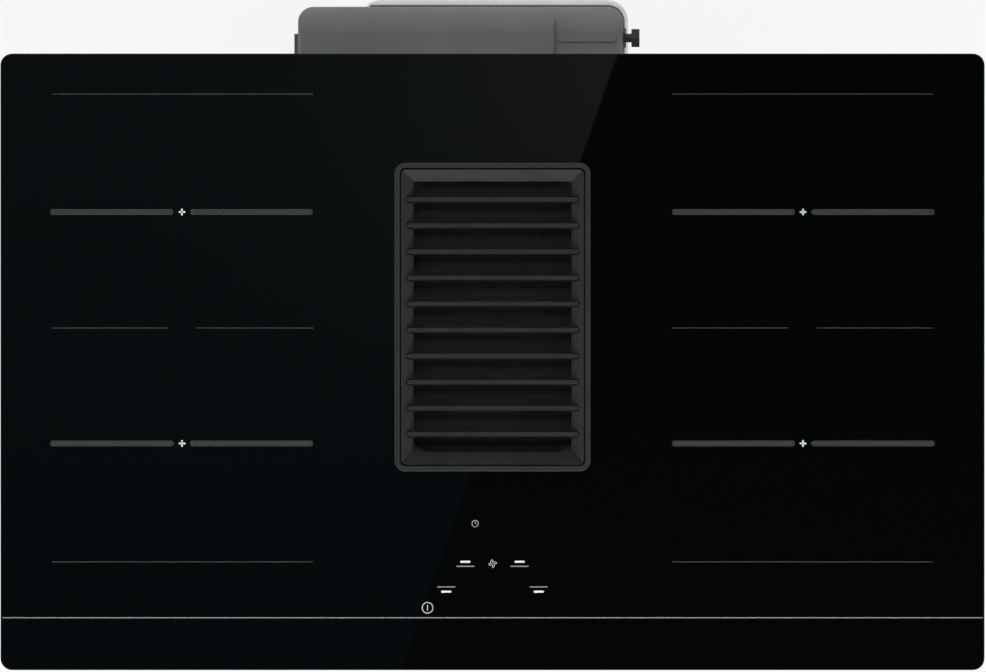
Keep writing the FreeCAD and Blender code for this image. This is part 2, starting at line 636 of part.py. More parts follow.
def drip_tray():
    """Shallow bowl on the shaft's floor, with an upright grip in its middle."""
    low = SHAFT_FLOOR
    high = low + TRAY_HEIGHT
    bowl = cut_corner_slab(TRAY_WIDTH, TRAY_DEPTH, TRAY_CORNER_CUT, low, high, 0, INTAKE_SHIFT)
    hollow = cut_corner_slab(
        TRAY_WIDTH - 2 * TRAY_WALL, TRAY_DEPTH - 2 * TRAY_WALL, TRAY_CORNER_CUT,
        low + TRAY_WALL, high + OVERRUN, 0, INTAKE_SHIFT)
    grip = block(
        -TRAY_GRIP_LENGTH / 2, TRAY_GRIP_LENGTH / 2,
        INTAKE_SHIFT - TRAY_GRIP_THICKNESS / 2, INTAKE_SHIFT + TRAY_GRIP_THICKNESS / 2,
        low, low + TRAY_GRIP_HEIGHT)
    return merged([bowl.cut(hollow), grip])


def air_shaft():
    """Moulded shaft from the intake to the base, with rests for the filter and a round port to the fan."""
    shell = cut_corner_slab(
        SHAFT_WIDTH, SHAFT_DEPTH, SHAFT_CORNER_CUT, -BODY_DEPTH, SHAFT_TOP, 0, INTAKE_SHIFT)
    flange = cut_corner_slab(
        FLANGE_WIDTH, FLANGE_DEPTH, SHAFT_CORNER_CUT, SHAFT_TOP - SHAFT_FLANGE_THICKNESS, SHAFT_TOP,
        0, INTAKE_SHIFT)
    ribs = []
    level = CASING_LOW - SHAFT_RIB_PITCH / 2
    half_width = SHAFT_WIDTH / 2
    half_depth = SHAFT_DEPTH / 2
    while level > SHAFT_RIB_PITCH / 2 - BODY_DEPTH:
        ribs.append(block(
            -half_width - SHAFT_RIB_HEIGHT, half_width + SHAFT_RIB_HEIGHT,
            INTAKE_SHIFT - half_depth + SHAFT_CORNER_CUT, INTAKE_SHIFT + half_depth - SHAFT_CORNER_CUT,
            level - SHAFT_RIB_THICKNESS, level))
        ribs.append(block(
            SHAFT_CORNER_CUT - half_width, half_width - SHAFT_CORNER_CUT,
            INTAKE_SHIFT - half_depth - SHAFT_RIB_HEIGHT, INTAKE_SHIFT,
            level - SHAFT_RIB_THICKNESS, level))
        level -= SHAFT_RIB_PITCH
    hollow = cut_corner_slab(
        WELL_WIDTH, WELL_DEPTH, SHAFT_CORNER_CUT, SHAFT_FLOOR, SHAFT_TOP + OVERRUN, 0, INTAKE_SHIFT)
    port = rod_y(PORT_RADIUS, SHAFT_REAR - SHAFT_WALL - OVERRUN, SHAFT_REAR + OVERRUN, FAN_AXIS_X, FAN_AXIS_Z)
    tube = merged([shell, flange] + ribs).cut(hollow).cut(port)
    rests = []
    for end in (-1, 1):
        wall = INTAKE_SHIFT + end * WELL_DEPTH / 2
        inner = wall - end * REST_DEPTH
        rests.append(block(
            -REST_WIDTH / 2, REST_WIDTH / 2, min(wall, inner), max(wall, inner),
            FILTER_LOW - REST_THICKNESS, FILTER_LOW))
    return merged([tube] + rests)


def shaft_gasket():
    """Foam ring between the frame's ledge and the shaft's flange."""
    ring = cut_corner_slab(
        FLANGE_WIDTH, FLANGE_DEPTH, SHAFT_CORNER_CUT, SHAFT_TOP, FRAME_LOW, 0, INTAKE_SHIFT)
    hole = cut_corner_slab(
        WELL_WIDTH, WELL_DEPTH, SHAFT_CORNER_CUT, SHAFT_TOP - OVERRUN, FRAME_LOW + OVERRUN, 0, INTAKE_SHIFT)
    return ring.cut(hole)


def inlet_gasket():
    """Square foam ring round the port, between the shaft and the fan housing."""
    outer = PORT_RADIUS + INLET_GASKET_WIDTH
    ring = block(
        FAN_AXIS_X - outer, FAN_AXIS_X + outer, SHAFT_REAR, HOUSING_FRONT,
        FAN_AXIS_Z - outer, FAN_AXIS_Z + outer)
    hole = block(
        FAN_AXIS_X - PORT_RADIUS, FAN_AXIS_X + PORT_RADIUS, SHAFT_REAR - OVERRUN, HOUSING_FRONT + OVERRUN,
        FAN_AXIS_Z - PORT_RADIUS, FAN_AXIS_Z + PORT_RADIUS)
    return ring.cut(hole)


def casing_tray():
    """Right-hand sheet-steel tray: open at the top, lipped under the glass, with fan slots and side vents."""
    low_y = -CASING_REAR
    outside = block(CASING_INNER, CASING_SIDE, low_y, CASING_REAR, CASING_LOW, GLASS_LOW)
    hollow = block(
        CASING_INNER + SHEET, CASING_SIDE - SHEET, low_y + SHEET, CASING_REAR - SHEET,
        CASING_FLOOR, GLASS_LOW + OVERRUN)
    lip = block(
        CASING_INNER, CASING_SIDE + CASING_LIP, low_y - CASING_LIP, CASING_REAR + CASING_LIP,
        GLASS_LOW - SHEET, GLASS_LOW)
    shell = merged([outside, lip]).cut(hollow)
    posts = []
    for x_side in (-1, 1):
        for y in (BOARD_FRONT + BOARD_POST_SIZE, BOARD_REAR - BOARD_POST_SIZE):
            x = ZONE_X + x_side * (BOARD_WIDTH / 2 - BOARD_POST_SIZE)
            half = BOARD_POST_SIZE / 2
            posts.append(block(x - half, x + half, y - half, y + half, CASING_LOW, BOARD_LOW))
    shell = merged([shell] + posts)
    cuts = []
    slots = int((COOLER_BORE_RADIUS - GRILL_SLOT_WIDTH) // GRILL_SLOT_PITCH)
    for n in range(-slots, slots + 1):
        x = ZONE_X + n * GRILL_SLOT_PITCH
        half = math.sqrt((COOLER_BORE_RADIUS - GRILL_SLOT_WIDTH) ** 2 - (n * GRILL_SLOT_PITCH) ** 2)
        cuts.append(block(
            x - GRILL_SLOT_WIDTH / 2, x + GRILL_SLOT_WIDTH / 2, COOLER_Y - half, COOLER_Y + half,
            CASING_LOW - OVERRUN, CASING_FLOOR + OVERRUN))
    vents = int(ZONE_DEPTH // VENT_PITCH)
    for n in range(vents):
        y = ZONE_MIDDLE_Y + (n - (vents - 1) / 2) * VENT_PITCH
        cuts.append(block(
            CASING_SIDE - SHEET - OVERRUN, CASING_SIDE + OVERRUN, y - VENT_WIDTH / 2, y + VENT_WIDTH / 2,
            GLASS_LOW - VENT_DROP - VENT_LENGTH, GLASS_LOW - VENT_DROP))
    return shell.cut(cuts)


def casing_left():
    """Left-hand tray, with the hole for the mains gland in its rear wall."""
    hole = rod_y(
        MAINS_NECK_RADIUS + GLAND_HOLE_CLEARANCE, CASING_REAR - SHEET - OVERRUN, CASING_REAR + OVERRUN,
        -TERMINAL_X, MAINS_Z)
    return mirrored(casing_tray()).cut(hole)


def front_bridge():
    """Folded channel between the trays that carries the touch controls."""
    top = CARRIER_LOW
    plate = block(-CASING_INNER, CASING_INNER, -CASING_REAR, BRIDGE_FRONT_END, top - SHEET, top)
    front = block(-CASING_INNER, CASING_INNER, -CASING_REAR, SHEET - CASING_REAR, top, GLASS_LOW)
    sides = []
    for side in (-1, 1):
        outer = side * CASING_INNER
        inner = side * (CASING_INNER - SHEET)
        sides.append(block(
            min(outer, inner), max(outer, inner), -CASING_REAR, BRIDGE_FRONT_END, CASING_LOW, top))
    return merged([plate, front] + sides)


def rear_bridge():
    """Folded channel between the trays that closes the back and carries the fan housing."""
    floor = block(-CASING_INNER, CASING_INNER, BRIDGE_REAR_START, CASING_REAR, CASING_LOW, CASING_FLOOR)
    back = block(-CASING_INNER, CASING_INNER, CASING_REAR - SHEET, CASING_REAR, CASING_LOW, GLASS_LOW)
    sides = []
    for side in (-1, 1):
        outer = side * CASING_INNER
        inner = side * (CASING_INNER - SHEET)
        sides.append(block(
            min(outer, inner), max(outer, inner), BRIDGE_REAR_START, CASING_REAR, CASING_LOW, MAINS_Z))
    return merged([floor, back] + sides)


def coil_plate():
    """Right-hand aluminium plate under two coils, folded down at both sides to stand on the tray."""
    x_low = ZONE_X - PLATE_WIDTH / 2
    x_high = ZONE_X + PLATE_WIDTH / 2
    y_low = ZONE_REAR_EDGE - 2 * ZONE_DEPTH
    top = block(x_low, x_high, y_low, ZONE_REAR_EDGE, PLATE_LOW, PLATE_TOP)
    inner_leg = block(x_low, x_low + PLATE_THICKNESS, y_low, ZONE_REAR_EDGE, CASING_FLOOR, PLATE_TOP)
    outer_leg = block(x_high - PLATE_THICKNESS, x_high, y_low, ZONE_REAR_EDGE, CASING_FLOOR, PLATE_TOP)
    return merged([top, inner_leg, outer_leg])


def mica_sheets():
    """Insulating sheets between the windings and the glass, one on each side."""
    y_low = ZONE_REAR_EDGE - 2 * ZONE_DEPTH
    sheet = block(
        ZONE_X - ZONE_WIDTH / 2, ZONE_X + ZONE_WIDTH / 2, y_low, ZONE_REAR_EDGE, WINDING_TOP, GLASS_LOW)
    return Part.makeCompound([mirrored(sheet), sheet])


def coil_winding(x, y):
    """Flat pancake of stranded wire round an open eye."""
    pancake = cut_corner_slab(COIL_WIDTH, COIL_DEPTH, COIL_CORNER_CUT, FORMER_TOP, WINDING_TOP, x, y)
    eye = cut_corner_slab(COIL_EYE, COIL_EYE, COIL_EYE_CUT, FORMER_TOP - OVERRUN, WINDING_TOP + OVERRUN, x, y)
    return pancake.cut(eye)


def ferrite_places():
    """Turn angle and bar length for each ferrite under a coil."""
    start = COIL_EYE / 2 + COIL_INSET
    end = min(COIL_WIDTH, COIL_DEPTH) / 2 - FORMER_MARGIN
    return [(360 / FERRITES_PER_COIL * n, start, end) for n in range(FERRITES_PER_COIL)]


def ferrite(start, end, turn, x, y, grow):
    """One radial bar, grown on its sides by a clearance when it makes the pocket."""
    half = FERRITE_WIDTH / 2 + grow
    bar = block(
        x + start - grow, x + end + grow, y - half, y + half, PLATE_TOP, PLATE_TOP + FERRITE_THICKNESS + grow)
    bar.rotate(Vector(x, y, 0), ALONG_Z, turn)
    return bar


def coil_former(x, y):
    """Moulded plate under a winding, with pockets for the ferrites and an opening for the sensor."""
    plate = cut_corner_slab(
        COIL_WIDTH + 2 * FORMER_MARGIN, COIL_DEPTH + 2 * FORMER_MARGIN, COIL_CORNER_CUT,
        PLATE_TOP, FORMER_TOP, x, y)
    pockets = [ferrite(start, end, turn, x, y, FERRITE_CLEARANCE) for turn, start, end in ferrite_places()]
    half = SENSOR_SIZE / 2 + SENSOR_CLEARANCE
    hole = block(x - half, x + half, y - half, y + half, PLATE_TOP - OVERRUN, FORMER_TOP + OVERRUN)
    return plate.cut(pockets + [hole])


def ferrite_bars(x, y):
    """Radial ferrite bars under one coil."""
    return Part.makeCompound([ferrite(start, end, turn, x, y, 0) for turn, start, end in ferrite_places()])


def coil_places():
    """Name and middle of each of the four coils."""
    rows = {"front": ZONE_MIDDLE_Y - ZONE_DEPTH / 2, "rear": ZONE_MIDDLE_Y + ZONE_DEPTH / 2}
    sides = {"left": -ZONE_X, "right": ZONE_X}
    return {row + "_" + side: (x, y) for row, y in rows.items() for side, x in sides.items()}


def coil_sensors():
    """Temperature sensor in the eye of each coil, pressed up against the mica."""
    half = SENSOR_SIZE / 2
    return Part.makeCompound([
        block(x - half, x + half, y - half, y + half, PLATE_TOP, WINDING_TOP)
        for x, y in coil_places().values()])


def power_board():
    """Right-hand inverter board with its two chokes."""
    board = block(
        ZONE_X - BOARD_WIDTH / 2, ZONE_X + BOARD_WIDTH / 2, BOARD_FRONT, BOARD_REAR, BOARD_LOW, BOARD_TOP)
    x = ZONE_X + BOARD_WIDTH / 2 - CHOKE_SIZE
    half = CHOKE_SIZE / 2
    chokes = []
    for end in (-1, 1):
        y = (BOARD_FRONT + BOARD_REAR) / 2 + end * CHOKE_SIZE
        chokes.append(block(x - half, x + half, y - half, y + half, BOARD_LOW, BOARD_TOP + CHOKE_HEIGHT))
    return merged([board] + chokes)


def heatsinks():
    """Finned extrusion on each inverter board."""
    x_low = ZONE_X - BOARD_WIDTH / 2 + HEATSINK_FIN
    y_low = BOARD_FRONT + HEATSINK_END_GAP
    y_high = BOARD_REAR - HEATSINK_END_GAP
    base = block(x_low, x_low + HEATSINK_WIDTH, y_low, y_high, BOARD_TOP, BOARD_TOP + HEATSINK_BASE)
    count = int((HEATSINK_WIDTH - HEATSINK_FIN) // HEATSINK_PITCH) + 1
    fins = []
    for n in range(count):
        x = x_low + n * HEATSINK_PITCH
        fins.append(block(x, x + HEATSINK_FIN, y_low, y_high, BOARD_TOP, BOARD_TOP + HEATSINK_HEIGHT))
    sink = merged([base] + fins)
    return Part.makeCompound([mirrored(sink), sink])


def cooling_fans():
    """Fan frame in each tray: square, with a wide bore, a crossbar, a motor base and the rotor's pin."""
    side = COOLER_SIZE / 2
    frame = block(ZONE_X - side, ZONE_X + side, COOLER_Y - side, COOLER_Y + side, CASING_FLOOR, COOLER_TOP)
    frame = frame.cut(many_sided_prism(
        COOLER_BORE_SIDES, COOLER_BORE_RADIUS, Vector(ZONE_X, COOLER_Y, CASING_FLOOR - OVERRUN),
        Vector(0, 0, COOLER_HEIGHT + 2 * OVERRUN), ALONG_X))
    reach = COOLER_BORE_RADIUS + COOLER_BASE
    half = COOLER_ARM_WIDTH / 2
    base_top = CASING_FLOOR + COOLER_BASE
    crossbar = block(
        ZONE_X - reach, ZONE_X + reach, COOLER_Y - half, COOLER_Y + half, CASING_FLOOR, base_top)
    hub = COOLER_HUB_RADIUS
    base = block(ZONE_X - hub, ZONE_X + hub, COOLER_Y - hub, COOLER_Y + hub, CASING_FLOOR, base_top)
    pin = rod_z(COOLER_PIN_RADIUS, CASING_FLOOR, COOLER_TOP - COOLER_BASE, ZONE_X, COOLER_Y)
    fan = merged([frame, crossbar, base, pin])
    return Part.makeCompound([mirrored(fan), fan])


def cooling_rotor():
    """Right-hand rotor: a hub on the pin, with pitched blades."""
    low = CASING_FLOOR + COOLER_BASE + COOLER_FLOOR_GAP
    high = COOLER_TOP - COOLER_FLOOR_GAP
    rise = high - low
    hub = many_sided_prism(
        COOLER_HUB_SIDES, COOLER_HUB_RADIUS, Vector(ZONE_X, COOLER_Y, low), Vector(0, 0, rise), ALONG_X)
    run = rise * math.tan(math.radians(90 - COOLER_BLADE_ANGLE)) / 2
    skin = COOLER_BLADE_THICKNESS / math.sin(math.radians(COOLER_BLADE_ANGLE)) / 2
    tip = math.sqrt((COOLER_BORE_RADIUS - COOLER_TIP_GAP) ** 2 - (run + skin) ** 2)
    blades = []
    for n in range(COOLER_BLADES):
        profile = [
            Vector(ZONE_X, COOLER_Y - run - skin, low), Vector(ZONE_X, COOLER_Y - run + skin, low),
            Vector(ZONE_X, COOLER_Y + run + skin, high), Vector(ZONE_X, COOLER_Y + run - skin, high)]
        blade = polygon_prism(profile, Vector(tip, 0, 0))
        blade.rotate(Vector(ZONE_X, COOLER_Y, 0), ALONG_Z, 360 / COOLER_BLADES * n)
        blades.append(blade)
    rotor = merged([hub] + blades)
    hole = rod_z(
        COOLER_PIN_RADIUS + COOLER_RUNNING_GAP, low - OVERRUN, COOLER_TOP - COOLER_BASE + COOLER_FLOOR_GAP,
        ZONE_X, COOLER_Y)
    return rotor.cut(hole)


def touch_board():
    """Control board under the front of the glass, with contact pads that reach up to it."""
    half = TOUCH_WIDTH / 2
    y_low = -TOUCH_SHIFT - TOUCH_DEPTH / 2
    y_high = TOUCH_DEPTH / 2 - TOUCH_SHIFT
    board = block(-half, half, y_low, y_high, TOUCH_BOARD_LOW, TOUCH_BOARD_TOP)
    pads = []
    for column in (-1, 0, 1):
        for row in (-1, 1):
            x = column * TOUCH_PAD_PITCH_X
            y = row * TOUCH_PAD_PITCH_Y / 2 - TOUCH_SHIFT
            pad = TOUCH_PAD_SIZE / 2
            pads.append(block(x - pad, x + pad, y - pad, y + pad, TOUCH_BOARD_LOW, GLASS_LOW))
    return merged([board] + pads)


def touch_carrier():
    """Moulded frame that holds the control board up from the bridge."""
    half_width = TOUCH_WIDTH / 2
    half_depth = TOUCH_DEPTH / 2
    outside = block(
        -half_width, half_width, -TOUCH_SHIFT - half_depth, half_depth - TOUCH_SHIFT,
        CARRIER_LOW, TOUCH_BOARD_LOW)
    inside = block(
        CARRIER_WALL - half_width, half_width - CARRIER_WALL,
        CARRIER_WALL - TOUCH_SHIFT - half_depth, half_depth - TOUCH_SHIFT - CARRIER_WALL,
        CARRIER_LOW + CARRIER_WALL, TOUCH_BOARD_LOW + OVERRUN)
    return outside.cut(inside)


def terminal_block():
    """Mains terminals on the left tray's floor, in front of the gland."""
    y_high = CASING_REAR - SHEET - TERMINAL_WALL_GAP
    y_low = y_high - TERMINAL_DEPTH
    top = CASING_FLOOR + TERMINAL_HEIGHT
    body = block(
        -TERMINAL_X - TERMINAL_WIDTH / 2, TERMINAL_WIDTH / 2 - TERMINAL_X, y_low, y_high, CASING_FLOOR, top)
    wells = []
    for n in range(TERMINAL_WAYS):
        x = TERMINAL_WIDTH / TERMINAL_WAYS * (n - (TERMINAL_WAYS - 1) / 2) - TERMINAL_X
        y = (y_low + y_high) / 2
        half = TERMINAL_WELL_SIZE / 2
        wells.append(block(x - half, x + half, y - half, y + half, top - TERMINAL_WELL_DEPTH, top + OVERRUN))
    return body.cut(wells)


def mains_gland():
    """Bushing for the mains lead in the left tray's rear wall."""
    neck = rod_y(
        MAINS_NECK_RADIUS, CASING_REAR - SHEET - MAINS_NECK_INSIDE, CASING_REAR + MAINS_HEAD_LENGTH,
        -TERMINAL_X, MAINS_Z)
    head = many_sided_prism(
        HEAD_SIDES, MAINS_HEAD_RADIUS, Vector(-TERMINAL_X, CASING_REAR, MAINS_Z),
        Vector(0, MAINS_HEAD_LENGTH, 0), ALONG_X)
    bore = rod_y(
        MAINS_BORE_RADIUS, CASING_REAR - SHEET - MAINS_NECK_INSIDE - OVERRUN,
        CASING_REAR + MAINS_HEAD_LENGTH + OVERRUN, -TERMINAL_X, MAINS_Z)
    return merged([neck, head]).cut(bore)


def clamp_places():
    """Name, pivot and rest direction of each worktop clamp."""
    places = {}
    for row, end in (("front", -1), ("rear", 1)):
        for name, side in (("left", -1), ("right", 1)):
            places[row + "_" + name] = (side * CLAMP_X, end * CLAMP_Y, -end)
    return places


def worktop_clamp(x, y, direction):
    """Strap that swings out under the worktop on one screw, with a turned-down tab at its free end."""
    half = CLAMP_WIDTH / 2
    heel = y - direction * half
    far = y + direction * CLAMP_LENGTH
    bend = far - direction * CLAMP_THICKNESS
    strap = merged([
        block(x - half, x + half, min(heel, far), max(heel, far), CLAMP_LOW, CLAMP_TOP),
        block(x - half, x + half, min(bend, far), max(bend, far), CLAMP_LOW - CLAMP_TAB, CLAMP_TOP)])
    return strap.cut(rod_z(
        CLAMP_PIN_RADIUS + CLAMP_RUNNING_GAP, CLAMP_LOW - OVERRUN, CLAMP_TOP + OVERRUN, x, y))


def clamp_pivots():
    """Shoulder screws that hold the clamps under the trays."""
    screws = []
    seat = CLAMP_LOW - CLAMP_SEAT_GAP
    for x, y, direction in clamp_places().values():
        screws.append(merged([
            rod_z(CLAMP_PIN_RADIUS, seat, CASING_LOW, x, y),
            many_sided_prism(
                HEAD_SIDES, CLAMP_HEAD_RADIUS, Vector(x, y, seat),
                Vector(0, 0, -CLAMP_HEAD_HEIGHT), ALONG_X)]))
    return Part.makeCompound(screws)


def rounded_profile_block(x_low, x_high, y_low, y_high, z_low, z_high, inset):
    """Moulded block with round rear corners in plan, a large round rear top edge and small side rounds."""
    corner = HOUSING_CORNER_RADIUS - inset
    back_round = HOUSING_TOP_ROUND - inset
    side_round = HOUSING_SIDE_ROUND - inset
    slant = 1 - math.sin(math.radians(45))
    plan = Part.Wire([
        Part.LineSegment(Vector(x_low, y_low, z_low), Vector(x_high, y_low, z_low)).toShape(),
        Part.LineSegment(Vector(x_high, y_low, z_low), Vector(x_high, y_high - corner, z_low)).toShape(),
        Part.Arc(
            Vector(x_high, y_high - corner, z_low),
            Vector(x_high - corner * slant, y_high - corner * slant, z_low),
            Vector(x_high - corner, y_high, z_low)).toShape(),
        Part.LineSegment(
            Vector(x_high - corner, y_high, z_low), Vector(x_low + corner, y_high, z_low)).toShape(),
        Part.Arc(
            Vector(x_low + corner, y_high, z_low),
            Vector(x_low + corner * slant, y_high - corner * slant, z_low),
            Vector(x_low, y_high - corner, z_low)).toShape(),
        Part.LineSegment(Vector(x_low, y_high - corner, z_low), Vector(x_low, y_low, z_low)).toShape()])
    side = Part.Wire([
        Part.LineSegment(Vector(x_low, y_low, z_low), Vector(x_low, y_high, z_low)).toShape(),
        Part.LineSegment(Vector(x_low, y_high, z_low), Vector(x_low, y_high, z_high - back_round)).toShape(),
        Part.Arc(
            Vector(x_low, y_high, z_high - back_round),
            Vector(x_low, y_high - back_round * slant, z_high - back_round * slant),
            Vector(x_low, y_high - back_round, z_high)).toShape(),
        Part.LineSegment(Vector(x_low, y_high - back_round, z_high), Vector(x_low, y_low, z_high)).toShape(),
        Part.LineSegment(Vector(x_low, y_low, z_high), Vector(x_low, y_low, z_low)).toShape()])
    front = Part.Wire([
        Part.LineSegment(Vector(x_low, y_low, z_low), Vector(x_high, y_low, z_low)).toShape(),
        Part.LineSegment(Vector(x_high, y_low, z_low), Vector(x_high, y_low, z_high - side_round)).toShape(),
        Part.Arc(
            Vector(x_high, y_low, z_high - side_round),
            Vector(x_high - side_round * slant, y_low, z_high - side_round * slant),
            Vector(x_high - side_round, y_low, z_high)).toShape(),
        Part.LineSegment(
            Vector(x_high - side_round, y_low, z_high), Vector(x_low + side_round, y_low, z_high)).toShape(),
        Part.Arc(
            Vector(x_low + side_round, y_low, z_high),
            Vector(x_low + side_round * slant, y_low, z_high - side_round * slant),
            Vector(x_low, y_low, z_high - side_round)).toShape(),
        Part.LineSegment(Vector(x_low, y_low, z_high - side_round), Vector(x_low, y_low, z_low)).toShape()])
    upright = Part.Face(plan).extrude(Vector(0, 0, z_high - z_low))
    across = Part.Face(side).extrude(Vector(x_high - x_low, 0, 0))
    through = Part.Face(front).extrude(Vector(0, y_high - y_low, 0))
    return upright.common(across).common(through)


def housing_form(inset):
    """The fan housing's form, a high left block and a lower right one; inset by the wall, the hollow."""
    y_high = HOUSING_REAR - inset
    z_low = HOUSING_LOW + inset
    left = rounded_profile_block(
        inset - HOUSING_LEFT, HOUSING_SEAM - inset, HOUSING_SPLIT, y_high, z_low, HOUSING_TOP - inset, inset)
    right = rounded_profile_block(
        HOUSING_SEAM - HOUSING_LEFT, HOUSING_RIGHT - inset, HOUSING_SPLIT, y_high, z_low,
        HOUSING_TOP - HOUSING_STEP - inset, inset)
    return merged([left, right])


def scroll_outline(grow):
    """Scroll outline in the X-Z plane, its arcs grown by the wall: a circle round the impeller that opens out
    over the top and runs down on the left to the outlet, and a tongue on the right."""
    def place(x, z):
        return Vector(x, HOUSING_SPLIT, z)

    def on_circle(z_middle, radius, angle):
        turn = math.radians(angle)
        return place(FAN_AXIS_X + radius * math.cos(turn), z_middle + radius * math.sin(turn))

    near = SCROLL_RADIUS + grow
    wide = near + SCROLL_GROWTH
    wide_z = FAN_AXIS_Z - SCROLL_GROWTH
    low = HOUSING_LOW + HOUSING_WALL
    outlet_left = place(OUTLET_LEFT - grow, low)
    outlet_right = place(OUTLET_RIGHT + grow, low)
    top = on_circle(FAN_AXIS_Z, near, 90)
    left = on_circle(wide_z, wide, 180)
    start_angle = 0 if grow else TONGUE_ANGLE
    start = on_circle(FAN_AXIS_Z, near, start_angle)
    return Part.Wire([
        Part.LineSegment(outlet_right, start).toShape(),
        Part.Arc(start, on_circle(FAN_AXIS_Z, near, (start_angle + 90) / 2), top).toShape(),
        Part.Arc(top, on_circle(wide_z, wide, 135), left).toShape(),
        Part.LineSegment(left, outlet_left).toShape(),
        Part.LineSegment(outlet_left, outlet_right).toShape()])


def fan_housing_rear():
    """Deep moulded half of the fan housing, with the scroll inside and the outlet in its floor."""
    shell = housing_form(0).cut(housing_form(HOUSING_WALL))
    depth = Vector(0, HOUSING_BACK - HOUSING_SPLIT, 0)
    scroll = Part.Face(scroll_outline(SCROLL_WALL)).extrude(depth)
    scroll = scroll.cut(Part.Face(scroll_outline(0)).extrude(depth))
    scroll = scroll.common(housing_form(0))
    right_top = HOUSING_TOP - HOUSING_STEP
    hangers = []
    half = HANGER_SIZE / 2
    for x, top in (
            (HANGER_INSET_X - HOUSING_LEFT, HOUSING_TOP),
            (HOUSING_RIGHT - HANGER_INSET_X, right_top)):
        for y in (HOUSING_SPLIT + HANGER_INSET_Y, CASING_REAR - HANGER_INSET_Y):
            hangers.append(block(x - half, x + half, y - half, y + half, top - HOUSING_WALL, CASING_LOW))
    strap_left = HOUSING_SEAM + STRAP_GAP
    strap_right = HOUSING_RIGHT - HOUSING_SIDE_ROUND
    strap = rounded_slab(
        strap_right - strap_left, STRAP_WIDTH, STRAP_RADIUS,
        right_top - HOUSING_WALL, right_top + STRAP_HEIGHT, (strap_left + strap_right) / 2, LEAD_Y)
    body = merged([shell, scroll, strap] + hangers)
    outlet = rounded_slab(
        COLLAR_WIDTH - 2 * COLLAR_WALL, COLLAR_DEPTH - 2 * COLLAR_WALL, COLLAR_RADIUS - COLLAR_WALL,
        HOUSING_LOW - OVERRUN, HOUSING_LOW + HOUSING_WALL, COLLAR_SHIFT, COLLAR_Y)
    inside = block(
        OUTLET_LEFT, OUTLET_RIGHT, HOUSING_SPLIT, HOUSING_BACK,
        HOUSING_LOW - OVERRUN, HOUSING_LOW + HOUSING_WALL)
    holes = [outlet.common(inside)]
    holes.append(rod_x(
        LEAD_NECK_RADIUS + GLAND_HOLE_CLEARANCE, HOUSING_RIGHT - HOUSING_WALL - OVERRUN,
        HOUSING_RIGHT + OVERRUN, LEAD_Y, LEAD_Z))
    holes.append(block(
        HOUSING_SEAM - HOUSING_SEAM_WIDTH / 2, HOUSING_SEAM + HOUSING_SEAM_WIDTH / 2,
        CASING_REAR, HOUSING_REAR + OVERRUN,
        right_top - HOUSING_SEAM_DEPTH, HOUSING_TOP + OVERRUN))
    return body.cut(holes)


def inlet_ring():
    """Bell mouth of the fan, turned about the fan's axis."""
    outer = PORT_RADIUS
    throat = INLET_RADIUS
    end = HOUSING_SPLIT + INLET_DEPTH
    corners = [
        (outer, HOUSING_FRONT), (throat, HOUSING_SPLIT), (throat, end), (throat + INLET_WALL, end),
        (throat + INLET_WALL, HOUSING_SPLIT), (outer, HOUSING_SPLIT)]
    points = [Vector(FAN_AXIS_X + radius, y, FAN_AXIS_Z) for radius, y in corners]
    profile = Part.Face(Part.makePolygon(points + points[:1]))
    return profile.revolve(Vector(FAN_AXIS_X, 0, FAN_AXIS_Z), ALONG_Y, 360)


def fan_housing_front():
    """Flat cover of the fan housing, with the bell mouth in it."""
    plate = merged([
        block(
            -HOUSING_LEFT, HOUSING_SEAM, HOUSING_FRONT, HOUSING_SPLIT, HOUSING_LOW, HOUSING_TOP),
        block(
            HOUSING_SEAM, HOUSING_RIGHT, HOUSING_FRONT, HOUSING_SPLIT,
            HOUSING_LOW, HOUSING_TOP - HOUSING_STEP)])
    corners = [
        edge for edge in plate.Edges
        if edge.tangentAt(edge.FirstParameter).isParallel(ALONG_Y, OVERRUN / 1000)
        and edge.Vertexes[0].Z > HOUSING_TOP - HOUSING_STEP - OVERRUN
        and abs(edge.Vertexes[0].X - HOUSING_SEAM) > OVERRUN]
    plate = plate.makeFillet(HOUSING_SIDE_ROUND, corners)
    plate = plate.cut(rod_y(
        PORT_RADIUS, HOUSING_FRONT - OVERRUN, HOUSING_SPLIT + OVERRUN, FAN_AXIS_X, FAN_AXIS_Z))
    return merged([plate, inlet_ring()])


